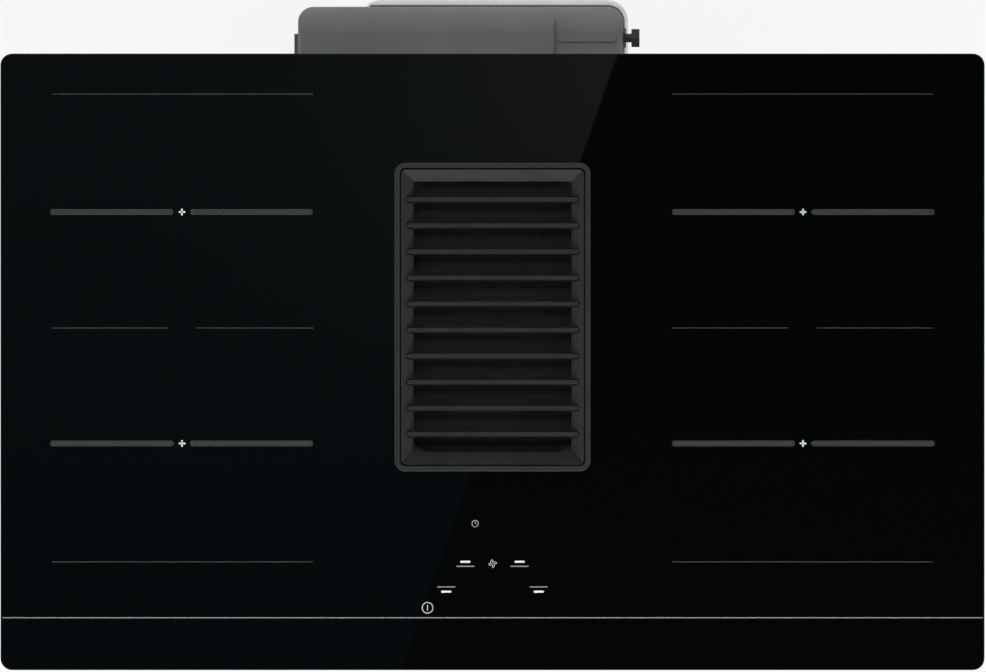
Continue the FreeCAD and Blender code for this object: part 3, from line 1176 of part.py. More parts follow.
def impeller():
    """Drum impeller: back plate and hub, a front ring, and forward-curved blades between them.

    The rims of the plate and the ring have two flats for each blade.
    """
    def rim(radius, y_low, y_high):
        return many_sided_prism(
            2 * IMPELLER_BLADES, radius, Vector(FAN_AXIS_X, y_low, FAN_AXIS_Z),
            Vector(0, y_high - y_low, 0), ALONG_X)

    inner = IMPELLER_RADIUS - IMPELLER_BLADE_DEPTH
    outer = IMPELLER_RADIUS - IMPELLER_BLADE_THICKNESS
    back_face = IMPELLER_REAR - IMPELLER_BACK
    ring_face = IMPELLER_FRONT + IMPELLER_RING
    back = rim(IMPELLER_RADIUS, back_face, IMPELLER_REAR)
    hub = rod_y(
        IMPELLER_HUB_RADIUS, IMPELLER_REAR - IMPELLER_HUB_LENGTH, IMPELLER_REAR, FAN_AXIS_X, FAN_AXIS_Z)
    front = rim(IMPELLER_RADIUS, IMPELLER_FRONT, ring_face)
    front = front.cut(rim(inner - IMPELLER_BLADE_THICKNESS, IMPELLER_FRONT - OVERRUN, ring_face + OVERRUN))

    def place(radius, lead):
        return Vector(FAN_AXIS_X + radius, ring_face, FAN_AXIS_Z + lead)

    bow = IMPELLER_BLADE_RADIUS - math.sqrt(IMPELLER_BLADE_RADIUS ** 2 - ((outer - inner) / 2) ** 2)
    half = IMPELLER_BLADE_THICKNESS / 2
    middle = (inner + outer) / 2
    section = Part.Wire([
        Part.Arc(place(inner, half), place(middle, half - bow), place(outer, half)).toShape(),
        Part.LineSegment(place(outer, half), place(outer, -half)).toShape(),
        Part.Arc(place(outer, -half), place(middle, -half - bow), place(inner, -half)).toShape(),
        Part.LineSegment(place(inner, -half), place(inner, half)).toShape()])
    blade = Part.Face(section).extrude(Vector(0, back_face - ring_face, 0))
    blades = []
    for n in range(IMPELLER_BLADES):
        turned = blade.copy()
        turned.rotate(Vector(FAN_AXIS_X, 0, FAN_AXIS_Z), ALONG_Y, 360 / IMPELLER_BLADES * n)
        blades.append(turned)
    wheel = merged([back, hub, front] + blades)
    bore = rod_y(
        SHAFT_PIN_RADIUS + SHAFT_PIN_CLEARANCE, IMPELLER_REAR - IMPELLER_HUB_LENGTH - OVERRUN,
        IMPELLER_REAR + OVERRUN, FAN_AXIS_X, FAN_AXIS_Z)
    return wheel.cut(bore)


def impeller_shaft():
    """Steel shaft from the impeller's hub through the motor."""
    return rod_y(SHAFT_PIN_RADIUS, IMPELLER_REAR - IMPELLER_HUB_LENGTH, MOTOR_REAR, FAN_AXIS_X, FAN_AXIS_Z)


def fan_motor():
    """Motor: a stack of laminations with cut corners and a bore for the shaft."""
    half = MOTOR_SIZE / 2
    cut = half - MOTOR_SIZE * MOTOR_CORNER_SHARE
    corners = [
        (cut, -half), (half, -cut), (half, cut), (cut, half),
        (-cut, half), (-half, cut), (-half, -cut), (-cut, -half)]
    stack = polygon_prism(
        [Vector(FAN_AXIS_X + x, MOTOR_FRONT, FAN_AXIS_Z + z) for x, z in corners], Vector(0, MOTOR_LENGTH, 0))
    bore = rod_y(
        SHAFT_PIN_RADIUS + SHAFT_PIN_CLEARANCE, MOTOR_FRONT - OVERRUN, MOTOR_REAR + OVERRUN,
        FAN_AXIS_X, FAN_AXIS_Z)
    return stack.cut(bore)


def motor_dampers():
    """Rubber blocks between the motor and the housing's back wall."""
    blocks = []
    for n in range(DAMPERS):
        turn = math.radians(90 + 360 / DAMPERS * n)
        x = FAN_AXIS_X + DAMPER_CIRCLE_RADIUS * math.cos(turn)
        z = FAN_AXIS_Z + DAMPER_CIRCLE_RADIUS * math.sin(turn)
        half = DAMPER_SIZE / 2
        blocks.append(block(x - half, x + half, MOTOR_REAR, HOUSING_BACK, z - half, z + half))
    return Part.makeCompound(blocks)


def duct_collar():
    """Flat-duct spigot under the housing, with the pale rim that stands out behind it."""
    rim = rounded_slab(
        COLLAR_WIDTH + 2 * COLLAR_RIM, COLLAR_DEPTH + 2 * COLLAR_RIM, COLLAR_RADIUS + COLLAR_RIM,
        HOUSING_LOW - COLLAR_RIM_THICKNESS, HOUSING_LOW, COLLAR_SHIFT, COLLAR_Y)
    spigot = rounded_slab(
        COLLAR_WIDTH, COLLAR_DEPTH, COLLAR_RADIUS, -BODY_DEPTH, HOUSING_LOW, COLLAR_SHIFT, COLLAR_Y)
    hollow = rounded_slab(
        COLLAR_WIDTH - 2 * COLLAR_WALL, COLLAR_DEPTH - 2 * COLLAR_WALL, COLLAR_RADIUS - COLLAR_WALL,
        -BODY_DEPTH - OVERRUN, HOUSING_LOW + OVERRUN, COLLAR_SHIFT, COLLAR_Y)
    return merged([rim, spigot]).cut(hollow)


def lead_gland():
    """Bushing for the fan's lead in the right wall of the fan housing, with a flat nut against the wall."""
    neck_end = HOUSING_RIGHT + LEAD_NECK_LENGTH
    neck = rod_x(LEAD_NECK_RADIUS, HOUSING_RIGHT - HOUSING_WALL, neck_end, LEAD_Y, LEAD_Z)
    nut = many_sided_prism(
        HEAD_SIDES, LEAD_NUT_RADIUS, Vector(HOUSING_RIGHT, LEAD_Y, LEAD_Z),
        Vector(LEAD_NUT_LENGTH, 0, 0), ALONG_Y)
    head = many_sided_prism(
        HEAD_SIDES, LEAD_HEAD_RADIUS, Vector(neck_end, LEAD_Y, LEAD_Z),
        Vector(LEAD_HEAD_LENGTH, 0, 0), ALONG_Z)
    bore = rod_x(
        LEAD_BORE_RADIUS, HOUSING_RIGHT - HOUSING_WALL - OVERRUN, neck_end + LEAD_HEAD_LENGTH + OVERRUN,
        LEAD_Y, LEAD_Z)
    return merged([neck, nut, head]).cut(bore)


def housing_clips():
    """Spring straps that hold the cover to the fan housing, a long one at the left, a short one right."""
    hook_front = HOUSING_FRONT - CLIP_HOOK
    clips = []
    for wall, side, y_end, z_high in (
            (-HOUSING_LEFT, -1, HOUSING_REAR - CLIP_REAR_GAP, HOUSING_TOP - CLIP_DROP),
            (HOUSING_RIGHT, 1, HOUSING_REAR - CLIP_RIGHT_GAP, HOUSING_TOP - CLIP_RIGHT_DROP)):
        outer = wall + side * CLIP_THICKNESS
        inner = wall - side * CLIP_HOOK_REACH
        z_low = z_high - CLIP_HEIGHT
        clips.append(merged([
            block(min(wall, outer), max(wall, outer), hook_front, y_end, z_low, z_high),
            block(min(inner, outer), max(inner, outer), hook_front, HOUSING_FRONT, z_low, z_high)]))
    return Part.makeCompound(clips)


pieces = {
    "glass_top": glass_top(),
    "worktop_seal": worktop_seal(),
    "intake_frame": intake_frame(),
    "intake_grille": intake_grille(),
    "grille_buffers": grille_buffers(),
    "filter_frame": filter_frame(),
    "filter_mesh": filter_mesh(),
    "filter_lift_loops": filter_lift_loops(),
    "drip_tray": drip_tray(),
    "air_shaft": air_shaft(),
    "shaft_gasket": shaft_gasket(),
    "inlet_gasket": inlet_gasket(),
    "casing_right": casing_tray(),
    "casing_left": casing_left(),
    "front_bridge": front_bridge(),
    "rear_bridge": rear_bridge(),
    "coil_plate_right": coil_plate(),
    "coil_plate_left": mirrored(coil_plate()),
    "mica_sheets": mica_sheets(),
    "coil_sensors": coil_sensors(),
    "power_board_right": power_board(),
    "power_board_left": mirrored(power_board()),
    "heatsinks": heatsinks(),
    "cooling_fans": cooling_fans(),
    "cooling_rotor_right": cooling_rotor(),
    "cooling_rotor_left": mirrored(cooling_rotor()),
    "touch_board": touch_board(),
    "touch_carrier": touch_carrier(),
    "terminal_block": terminal_block(),
    "cable_glands": Part.makeCompound([mains_gland(), lead_gland()]),
    "clamp_pivots": clamp_pivots(),
    "fan_housing_rear": fan_housing_rear(),
    "fan_housing_front": fan_housing_front(),
    "impeller": impeller(),
    "impeller_shaft": impeller_shaft(),
    "fan_motor": fan_motor(),
    "motor_dampers": motor_dampers(),
    "duct_collar": duct_collar(),
    "housing_clips": housing_clips(),
}
for coil_name, coil_middle in coil_places().items():
    pieces["coil_winding_" + coil_name] = coil_winding(*coil_middle)
    pieces["coil_former_" + coil_name] = coil_former(*coil_middle)
    pieces["ferrite_bars_" + coil_name] = ferrite_bars(*coil_middle)
for clamp_name, clamp_place in clamp_places().items():
    pieces["worktop_clamp_" + clamp_name] = worktop_clamp(*clamp_place)

os.makedirs("parts", exist_ok=True)
for piece_name, piece in pieces.items():
    piece.exportStep(os.path.join("parts", piece_name + ".step"))
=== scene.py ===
import bmesh
import bpy
import numpy as np
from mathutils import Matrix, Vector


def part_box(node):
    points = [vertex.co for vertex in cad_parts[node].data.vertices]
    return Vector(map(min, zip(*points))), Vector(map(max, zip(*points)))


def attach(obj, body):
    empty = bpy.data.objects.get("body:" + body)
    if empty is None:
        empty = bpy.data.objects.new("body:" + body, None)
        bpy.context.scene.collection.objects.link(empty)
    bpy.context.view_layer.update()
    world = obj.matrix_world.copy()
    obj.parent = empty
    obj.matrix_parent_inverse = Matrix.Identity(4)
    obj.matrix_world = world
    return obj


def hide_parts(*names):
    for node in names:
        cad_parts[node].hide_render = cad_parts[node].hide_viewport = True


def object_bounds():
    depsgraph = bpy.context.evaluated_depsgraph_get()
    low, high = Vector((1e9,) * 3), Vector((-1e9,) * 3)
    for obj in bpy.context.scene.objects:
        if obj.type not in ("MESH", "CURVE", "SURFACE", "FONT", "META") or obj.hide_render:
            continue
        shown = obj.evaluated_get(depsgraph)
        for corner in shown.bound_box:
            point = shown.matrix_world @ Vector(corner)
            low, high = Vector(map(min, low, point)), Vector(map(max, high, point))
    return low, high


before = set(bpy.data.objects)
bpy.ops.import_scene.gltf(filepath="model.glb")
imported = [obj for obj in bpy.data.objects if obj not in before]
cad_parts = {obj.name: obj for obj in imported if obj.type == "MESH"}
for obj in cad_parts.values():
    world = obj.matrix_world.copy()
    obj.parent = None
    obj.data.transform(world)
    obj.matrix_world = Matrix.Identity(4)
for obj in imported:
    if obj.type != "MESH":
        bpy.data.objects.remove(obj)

cad_low, cad_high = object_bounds()


# Duct collar: the pale spigot under the fan housing that a flat duct is pushed onto.
# It is injection moulded in a natural, slightly clear plastic with a fine grain, and welded to the housing's floor.
def begin_finish(name):
    """A new material, its node tree, its shader and its Object coordinates."""
    finish = bpy.data.materials.new(name)
    finish.use_nodes = True
    tree = finish.node_tree
    place = tree.nodes.new("ShaderNodeTexCoord").outputs["Object"]
    return finish, tree, tree.nodes["Principled BSDF"], place


def cloud(tree, place, per_metre, detail=2.0):
    """Soft noise from 0 to 1 with that many clumps to the metre."""
    noise = tree.nodes.new("ShaderNodeTexNoise")
    noise.inputs["Scale"].default_value = per_metre
    noise.inputs["Detail"].default_value = detail
    tree.links.new(place, noise.inputs["Vector"])
    return noise.outputs[0]


def ramp(tree, value, start, end, low, high, blend="LINEAR"):
    """Number low + (high - low) * (value - start) / (end - start), held between the two."""
    node = tree.nodes.new("ShaderNodeMapRange")
    node.interpolation_type = blend
    for held, number in zip(("From Min", "From Max", "To Min", "To Max"), (start, end, low, high)):
        node.inputs[held].default_value = number
    tree.links.new(value, node.inputs["Value"])
    return node.outputs["Result"]


noise_span = (0.3, 0.7)


def tint(tree, shader, amount, first, last):
    """Base colour first + (last - first) * amount, the noise's usual span stretched to 0 and 1 beforehand."""
    mix = tree.nodes.new("ShaderNodeMix")
    mix.data_type = "RGBA"
    mix.inputs[6].default_value = (*first, 1.0)
    mix.inputs[7].default_value = (*last, 1.0)
    tree.links.new(ramp(tree, amount, *noise_span, 0.0, 1.0), mix.inputs[0])
    tree.links.new(mix.outputs[2], shader.inputs["Base Color"])


def polish(tree, shader, amount, smooth, dull):
    """Roughness smooth + (dull - smooth) * amount, stretched in the same way."""
    tree.links.new(ramp(tree, amount, *noise_span, smooth, dull), shader.inputs["Roughness"])


def relief(tree, shader, height, depth):
    """Bends the shading as if the surface rose by height * depth metres."""
    bump = tree.nodes.new("ShaderNodeBump")
    bump.inputs["Distance"].default_value = depth
    tree.links.new(height, bump.inputs["Height"])
    tree.links.new(bump.outputs["Normal"], shader.inputs["Normal"])


def moulded_plastic(name, dark, pale, gloss, grain_per_metre, grain_depth):
    """Moulded plastic: a slow drift between two tones, uneven gloss, and a spark-eroded grain."""
    finish, tree, shader, place = begin_finish(name)
    tint(tree, shader, cloud(tree, place, per_metre=14.0, detail=4.0), dark, pale)
    polish(tree, shader, cloud(tree, place, per_metre=60.0, detail=3.0), *gloss)
    relief(tree, shader, cloud(tree, place, grain_per_metre, detail=1.0), grain_depth)
    return finish


def dress(finish, *names):
    """Gives CAD nodes a finish in place of the plain one that they were packed with."""
    for name in names:
        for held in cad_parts[name].material_slots:
            held.material = finish


natural_plastic = moulded_plastic(
    "natural_collar_plastic", dark=(0.945, 0.955, 0.955), pale=(0.975, 0.985, 0.985), gloss=(0.36, 0.46),
    grain_per_metre=1500.0, grain_depth=0.00012)
natural_plastic.node_tree.nodes["Principled BSDF"].inputs["Transmission Weight"].default_value = 0.80
dress(natural_plastic, "duct_collar")


# Fan housing: a deep grey moulding with a large round along its rear top edge, and a flat cover with the bell mouth.
# Both halves are fine-grained glass-filled plastic; spring clips hold them together.
housing_plastic = moulded_plastic(
    "grey_housing_plastic", dark=(0.210, 0.210, 0.216), pale=(0.240, 0.240, 0.247), gloss=(0.56, 0.68),
    grain_per_metre=1300.0, grain_depth=0.00015)
dress(housing_plastic, "fan_housing_rear", "fan_housing_front")


# Spring clips on the housing's two sides: straps of spring steel with a hook round the cover's edge.
# They are stamped, bent and phosphated to a dull grey, so the rolling direction shows as faint streaks.
def drawn_out(tree, place, along):
    """The coordinates scaled by a factor per axis, so that a pattern is drawn out where the factor is small."""
    mapping = tree.nodes.new("ShaderNodeMapping")
    mapping.inputs["Scale"].default_value = along
    tree.links.new(place, mapping.inputs["Vector"])
    return mapping.outputs["Vector"]


def rolled_metal(name, dark, pale, gloss, streak, metallic):
    """Rolled sheet or drawn bar: tone and relief follow streaks drawn out along one axis, gloss follows a cloud."""
    finish, tree, shader, place = begin_finish(name)
    streaks = cloud(tree, drawn_out(tree, place, streak), per_metre=900.0, detail=3.0)
    tint(tree, shader, streaks, dark, pale)
    polish(tree, shader, cloud(tree, place, per_metre=120.0, detail=4.0), *gloss)
    shader.inputs["Metallic"].default_value = metallic
    relief(tree, shader, streaks, depth=0.00004)
    return finish


spring_steel = rolled_metal(
    "grey_spring_steel", dark=(0.165, 0.165, 0.170), pale=(0.205, 0.205, 0.210), gloss=(0.42, 0.58),
    streak=(1.0, 0.05, 1.0), metallic=0.3)
dress(spring_steel, "housing_clips")


# Drum impeller, its shaft, the motor and its rubber blocks: they sit inside the housing behind the bell mouth.
# The drum is one black moulding, the shaft is ground steel, and the motor is a stack of punched laminations.
drum_plastic = moulded_plastic(
    "drum_plastic", dark=(0.050, 0.050, 0.054), pale=(0.066, 0.066, 0.070), gloss=(0.35, 0.50),
    grain_per_metre=1800.0, grain_depth=0.00008)
dress(drum_plastic, "impeller")
shaft_steel = rolled_metal(
    "ground_shaft_steel", dark=(0.58, 0.58, 0.59), pale=(0.70, 0.70, 0.71), gloss=(0.18, 0.30),
    streak=(1.0, 0.05, 1.0), metallic=1.0)
dress(shaft_steel, "impeller_shaft")


def lamination_stack(name):
    """Motor stack: thin sheets edge on, so tone and relief change along the motor's axis only."""
    finish, tree, shader, place = begin_finish(name)
    sheets = cloud(tree, drawn_out(tree, place, (0.02, 1.0, 0.02)), per_metre=2000.0, detail=1.0)
    tint(tree, shader, sheets, (0.16, 0.16, 0.17), (0.30, 0.30, 0.31))
    polish(tree, shader, sheets, smooth=0.38, dull=0.60)
    shader.inputs["Metallic"].default_value = 0.8
    relief(tree, shader, sheets, depth=0.0002)
    return finish


dress(lamination_stack("motor_laminations"), "fan_motor")


def soft_rubber(name, dark, pale):
    """Rubber: dull, nearly even, with a fine bloom on the skin."""
    finish, tree, shader, place = begin_finish(name)
    tint(tree, shader, cloud(tree, place, per_metre=300.0, detail=4.0), dark, pale)
    polish(tree, shader, cloud(tree, place, per_metre=500.0), smooth=0.62, dull=0.85)
    relief(tree, shader, cloud(tree, place, per_metre=2500.0), depth=0.00006)
    return finish


black_rubber = soft_rubber("black_rubber", dark=(0.014, 0.014, 0.014), pale=(0.028, 0.028, 0.028))
dress(black_rubber, "motor_dampers", "grille_buffers")


# Cable glands: the mains bushing in the rear wall of the left tray and the lead bushing at the end of the housing.
# Both are black nylon with a six-sided head, screwed in by hand.
black_nylon = moulded_plastic(
    "black_nylon", dark=(0.026, 0.026, 0.028), pale=(0.040, 0.040, 0.042), gloss=(0.30, 0.42),
    grain_per_metre=2200.0, grain_depth=0.00006)
dress(black_nylon, "cable_glands")


# Foam gaskets: one between the shaft and the intake frame, one round the fan port, and the strip under the glass.
# They are closed-cell foam, die cut and glued on, so the skin shows small open bubbles.
def cells(tree, place, per_metre):
    """Cells, that many to the metre: a node that gives each point's distance from its cell's seed, and a random
    colour for each cell."""
    node = tree.nodes.new("ShaderNodeTexVoronoi")
    node.inputs["Scale"].default_value = per_metre
    tree.links.new(place, node.inputs["Vector"])
    return node


def cut_foam(name, dark, pale):
    """Foam: cells 0.8 mm across whose walls stand up and whose bottoms are darker as painted shade in the pits."""
    finish, tree, shader, place = begin_finish(name)
    bubbles = cells(tree, place, per_metre=1250.0).outputs["Distance"]
    # Painted shade: the tone follows the cells and is darkest at their bottoms, where the pits are deepest.
    tint(tree, shader, bubbles, dark, pale)
    shader.inputs["Roughness"].default_value = 0.9
    relief(tree, shader, bubbles, depth=0.0003)
    return finish


closed_foam = cut_foam("closed_cell_foam", dark=(0.020, 0.020, 0.021), pale=(0.055, 0.055, 0.056))
dress(closed_foam, "inlet_gasket", "shaft_gasket", "worktop_seal")


# Air shaft and drip tray: the black well under the grille and the basin that lifts out of its floor.
# Both are moulded in a tough dark plastic; the well is dull, the basin is smoother so that it wipes clean.
well_plastic = moulded_plastic(
    "well_plastic", dark=(0.022, 0.022, 0.024), pale=(0.034, 0.034, 0.036), gloss=(0.45, 0.62),
    grain_per_metre=1200.0, grain_depth=0.00015)
dress(well_plastic, "air_shaft")
basin_plastic = moulded_plastic(
    "basin_plastic", dark=(0.026, 0.026, 0.028), pale=(0.036, 0.036, 0.038), gloss=(0.26, 0.38),
    grain_per_metre=2400.0, grain_depth=0.00004)
dress(basin_plastic, "drip_tray")


# Casing trays and bridges: folded from hot-dip zinc-coated sheet one millimetre thick, screwed together.
# The zinc shows large frosty crystals whose tone and gloss differ from one to the next.
def reckon(tree, operation, *terms):
    """The operation worked out on its terms, each a number or the output of a node."""
    node = tree.nodes.new("ShaderNodeMath")
    node.operation = operation
    for held, term in zip(node.inputs, terms):
        if isinstance(term, float):
            held.default_value = term
        else:
            tree.links.new(term, held)
    return node.outputs[0]


def zinc_sheet(name):
    """Zinc coating: crystals about 9 mm across with their own tone and gloss, under a light handling haze."""
    finish, tree, shader, place = begin_finish(name)
    crystal = tree.nodes.new("ShaderNodeSeparateColor")
    tree.links.new(cells(tree, place, per_metre=110.0).outputs["Color"], crystal.inputs["Color"])
    haze = ramp(tree, cloud(tree, place, per_metre=7.0, detail=5.0), *noise_span, 0.28, 0.44)
    crystal_share = 0.28
    tone = reckon(tree, "MULTIPLY_ADD", crystal.outputs["Red"], crystal_share, haze)
    tint(tree, shader, tone, (0.44, 0.45, 0.46), (0.66, 0.67, 0.68))
    polish(tree, shader, crystal.outputs["Green"], smooth=0.34, dull=0.52)
    shader.inputs["Metallic"].default_value = 0.85
    relief(tree, shader, cloud(tree, place, per_metre=260.0, detail=3.0), depth=0.00005)
    return finish


dress(zinc_sheet("zinc_coated_sheet"), "casing_left", "casing_right", "front_bridge", "rear_bridge")


# Coil plates, coils and what sits round them, closed in under the glass: aluminium plates, ferrite bars,
# plastic formers, windings of lacquered copper strands, mica sheets and spring-loaded temperature sensors.
mill_aluminium = rolled_metal(
    "mill_aluminium", dark=(0.70, 0.70, 0.71), pale=(0.80, 0.80, 0.81), gloss=(0.28, 0.42),
    streak=(1.0, 0.03, 1.0), metallic=1.0)
dress(mill_aluminium, "coil_plate_left", "coil_plate_right")
sensor_steel = rolled_metal(
    "drawn_sensor_steel", dark=(0.54, 0.54, 0.54), pale=(0.66, 0.66, 0.66), gloss=(0.25, 0.40),
    streak=(1.0, 1.0, 0.05), metallic=1.0)
dress(sensor_steel, "coil_sensors")


def flaky_mica(name):
    """Mica board: pale brown flakes, darker towards their edges, half glossy."""
    finish, tree, shader, place = begin_finish(name)
    flakes = cells(tree, place, per_metre=420.0).outputs["Distance"]
    tint(tree, shader, flakes, (0.66, 0.60, 0.48), (0.50, 0.43, 0.31))
    polish(tree, shader, cloud(tree, place, per_metre=400.0), smooth=0.35, dull=0.60)
    return finish


dress(flaky_mica("mica_board"), "mica_sheets")


def strand_winding(name, middle_x, middle_y):
    """Winding: rings of strands 3 mm apart about the coil's middle, with a twist of finer strands across them."""
    finish, tree, shader, place = begin_finish(name)
    mapping = tree.nodes.new("ShaderNodeMapping")
    mapping.inputs["Location"].default_value = (-middle_x, -middle_y, 0.0)
    tree.links.new(place, mapping.inputs["Vector"])
    rings = tree.nodes.new("ShaderNodeTexWave")
    rings.wave_type = "RINGS"
    rings.rings_direction = "Z"
    rings.inputs["Scale"].default_value = 105.0
    rings.inputs["Distortion"].default_value = 0.6
    tree.links.new(mapping.outputs["Vector"], rings.inputs["Vector"])
    strands = cloud(tree, place, per_metre=2600.0)
    tint(tree, shader, strands, (0.36, 0.13, 0.055), (0.62, 0.27, 0.12))
    polish(tree, shader, strands, smooth=0.28, dull=0.45)
    shader.inputs["Metallic"].default_value = 0.7
    relief(tree, shader, rings.outputs["Fac"], depth=0.0012)
    return finish


former_plastic = moulded_plastic(
    "former_plastic", dark=(0.09, 0.09, 0.09), pale=(0.13, 0.13, 0.13), gloss=(0.45, 0.60),
    grain_per_metre=1600.0, grain_depth=0.0001)
ferrite = moulded_plastic(
    "ferrite", dark=(0.060, 0.060, 0.064), pale=(0.092, 0.092, 0.097), gloss=(0.38, 0.52),
    grain_per_metre=3000.0, grain_depth=0.00005)
four_places = ("front_left", "front_right", "rear_left", "rear_right")
for coil in four_places:
    low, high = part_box("coil_winding_" + coil)
    copper = strand_winding("copper_strands_" + coil, (low.x + high.x) / 2, (low.y + high.y) / 2)
    dress(copper, "coil_winding_" + coil)
    dress(former_plastic, "coil_former_" + coil)
    dress(ferrite, "ferrite_bars_" + coil)


# Boards with their heat sinks, the cooling fans and the mains terminals, closed in as well.
# The boards have green solder resist over copper tracks, the sinks are extruded; the rest is moulded plastic.
def solder_resist(name):
    """Printed board: green lacquer, paler where tracks run under it in blocks."""
    finish, tree, shader, place = begin_finish(name)
    tracks = tree.nodes.new("ShaderNodeTexBrick")
    tracks.inputs["Scale"].default_value = 60.0
    tracks.inputs["Mortar Size"].default_value = 0.03
    tracks.inputs["Color1"].default_value = (0.020, 0.115, 0.055, 1.0)
    tracks.inputs["Color2"].default_value = (0.028, 0.150, 0.075, 1.0)
    tracks.inputs["Mortar"].default_value = (0.012, 0.070, 0.034, 1.0)
    tree.links.new(place, tracks.inputs["Vector"])
    tree.links.new(tracks.outputs["Color"], shader.inputs["Base Color"])
    polish(tree, shader, cloud(tree, place, per_metre=90.0, detail=3.0), smooth=0.28, dull=0.42)
    relief(tree, shader, tracks.outputs["Fac"], depth=0.00005)
    return finish


dress(solder_resist("green_solder_resist"), "power_board_left", "power_board_right", "touch_board")
extruded_aluminium = rolled_metal(
    "extruded_aluminium", dark=(0.62, 0.62, 0.63), pale=(0.74, 0.74, 0.75), gloss=(0.30, 0.45),
    streak=(1.0, 0.03, 1.0), metallic=1.0)
dress(extruded_aluminium, "heatsinks")
fan_plastic = moulded_plastic(
    "black_fan_plastic", dark=(0.020, 0.020, 0.020), pale=(0.032, 0.032, 0.032), gloss=(0.35, 0.50),
    grain_per_metre=1800.0, grain_depth=0.00008)
dress(fan_plastic, "cooling_fans", "cooling_rotor_left", "cooling_rotor_right", "touch_carrier")
terminal_plastic = moulded_plastic(
    "terminal_plastic", dark=(0.62, 0.62, 0.57), pale=(0.72, 0.72, 0.68), gloss=(0.38, 0.50),
    grain_per_metre=1800.0, grain_depth=0.00006)
dress(terminal_plastic, "terminal_block")


# Screws through the floors of the trays: four hold each cooling fan and four stand under each board's posts.
# They are zinc-plated pan heads with a cross recess, a low dome 6.4 mm across.
def put_piece(name, corners, faces, finish, body):
    """A new piece from arrays of corners and of faces, its poles merged to one corner each, riding on a body."""
    mesh = bpy.data.meshes.new(name)
    mesh.from_pydata(corners.tolist(), [], [list(face) for face in faces])
    mesh.materials.append(finish)
    shell = bmesh.new()
    shell.from_mesh(mesh)
    bmesh.ops.remove_doubles(shell, verts=shell.verts, dist=1e-7)
    shell.to_mesh(mesh)
    shell.free()
    mesh.update()
    piece = bpy.data.objects.new(name, mesh)
    bpy.context.scene.collection.objects.link(piece)
    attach(piece, body)
    return piece


def band_faces(rows, columns):
    """Quads between neighbours on a grid of rows by columns, its last column joined to its first."""
    row = np.arange(rows - 1)[:, None]
    column = np.arange(columns)[None, :]
    after = (column + 1) % columns
    return np.stack(
        [row * columns + column, row * columns + after, (row + 1) * columns + after, (row + 1) * columns + column],
        axis=-1).reshape(-1, 4)


def pan_heads(name, places, base, radius, height, finish, body):
    """Pan heads that hang under a floor: a flat seat, a low edge, then a dome of depth height * sqrt(1 - (r / R)^4)
    less a cross recess in the middle."""
    around = 32
    share = np.array([0.0, 1.0, 1.0, 0.97, 0.88, 0.72, 0.55, 0.40, 0.26, 0.14, 0.0])
    seat_row, edge_row = 0, 2
    edge_depth, recess_depth = 0.35 * height, 0.45 * height
    arm_half, arm_reach = 0.17 * radius, 0.58 * radius
    turn = 2 * np.pi * np.arange(around) / around
    x = radius * share[:, None] * np.cos(turn)[None, :]
    y = radius * share[:, None] * np.sin(turn)[None, :]
    drop = height * np.sqrt(np.clip(1 - share ** 4, 0, 1))[:, None] * np.ones_like(x)
    drop[edge_row] = edge_depth
    in_cross = (np.minimum(abs(x), abs(y)) < arm_half) & (np.maximum(abs(x), abs(y)) < arm_reach)
    drop = np.where(in_cross, recess_depth, drop)
    drop[seat_row] = 0.0
    one = np.stack([x, y, -drop], axis=-1).reshape(-1, 3)
    centres = np.array([(px, py, base) for px, py in places])
    corners = (centres[:, None, :] + one[None, :, :]).reshape(-1, 3)
    quads = band_faces(len(share), around)[:, ::-1]
    faces = (quads[None, :, :] + len(one) * np.arange(len(places))[:, None, None]).reshape(-1, 4)
    return put_piece(name, corners, faces, finish, body)


plated_steel = rolled_metal(
    "zinc_plated_steel", dark=(0.52, 0.53, 0.54), pale=(0.66, 0.67, 0.68), gloss=(0.24, 0.38),
    streak=(1.0, 1.0, 0.4), metallic=1.0)
tray_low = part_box("casing_right")[0].z
fan_low, fan_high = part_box("cooling_rotor_right")
board_low, board_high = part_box("power_board_right")
fan_x = (fan_low.x + fan_high.x) / 2
fan_y = (fan_low.y + fan_high.y) / 2
fan_hole = 0.03575
post_inset = 0.008
head_radius, head_height = 0.0032, 0.0021
floor_screws = [(fan_x + a * fan_hole, fan_y + b * fan_hole) for a in (-1, 1) for b in (-1, 1)]
floor_screws += [(x, y) for x in (board_low.x + post_inset, board_high.x - post_inset)
                 for y in (board_low.y + post_inset, board_high.y - post_inset)]
floor_screws += [(-x, y) for x, y in floor_screws]
pan_heads("tray_floor_screws", floor_screws, tray_low, head_radius, head_height, plated_steel, "cooktop")


# Shade cord: a grey cord 2 mm thick in the corner between the housing's foot and the rim, as painted shade for the
# gap.
# It stands in for the shadow there, closes the slit behind the housing's wall and follows its round corner.
def swept_bead(name, path, z, radius, finish, body):
    """Cord: a circle of that radius carried along a level path, its radius falling to nothing at both ends as that
    of an ellipsoid two radii long does."""
    around = 10
    turn = 2 * np.pi * np.arange(around) / around
    step = np.gradient(path, axis=0)
    step /= np.linalg.norm(step, axis=1)[:, None]
    outwards = np.stack([step[:, 1], -step[:, 0]], axis=-1)
    run = np.concatenate([[0.0], np.cumsum(np.linalg.norm(np.diff(path, axis=0), axis=1))])
    from_end = np.minimum(run, run[-1] - run)
    thick = radius * np.sqrt(np.clip(1 - (1 - np.clip(from_end / (2 * radius), 0, 1)) ** 2, 0, 1))
    flat = path[:, None, :] + outwards[:, None, :] * (thick[:, None] * np.cos(turn))[:, :, None]
    level = z + thick[:, None] * np.sin(turn)
    corners = np.concatenate([flat, level[:, :, None]], axis=-1).reshape(-1, 3)
    return put_piece(name, corners, band_faces(len(path), around)[:, ::-1], finish, body)


def straight_run(x, y):
    """Points of a level run, from one coordinate as an array and the other as a number."""
    return np.stack(np.broadcast_arrays(x, y), axis=-1)


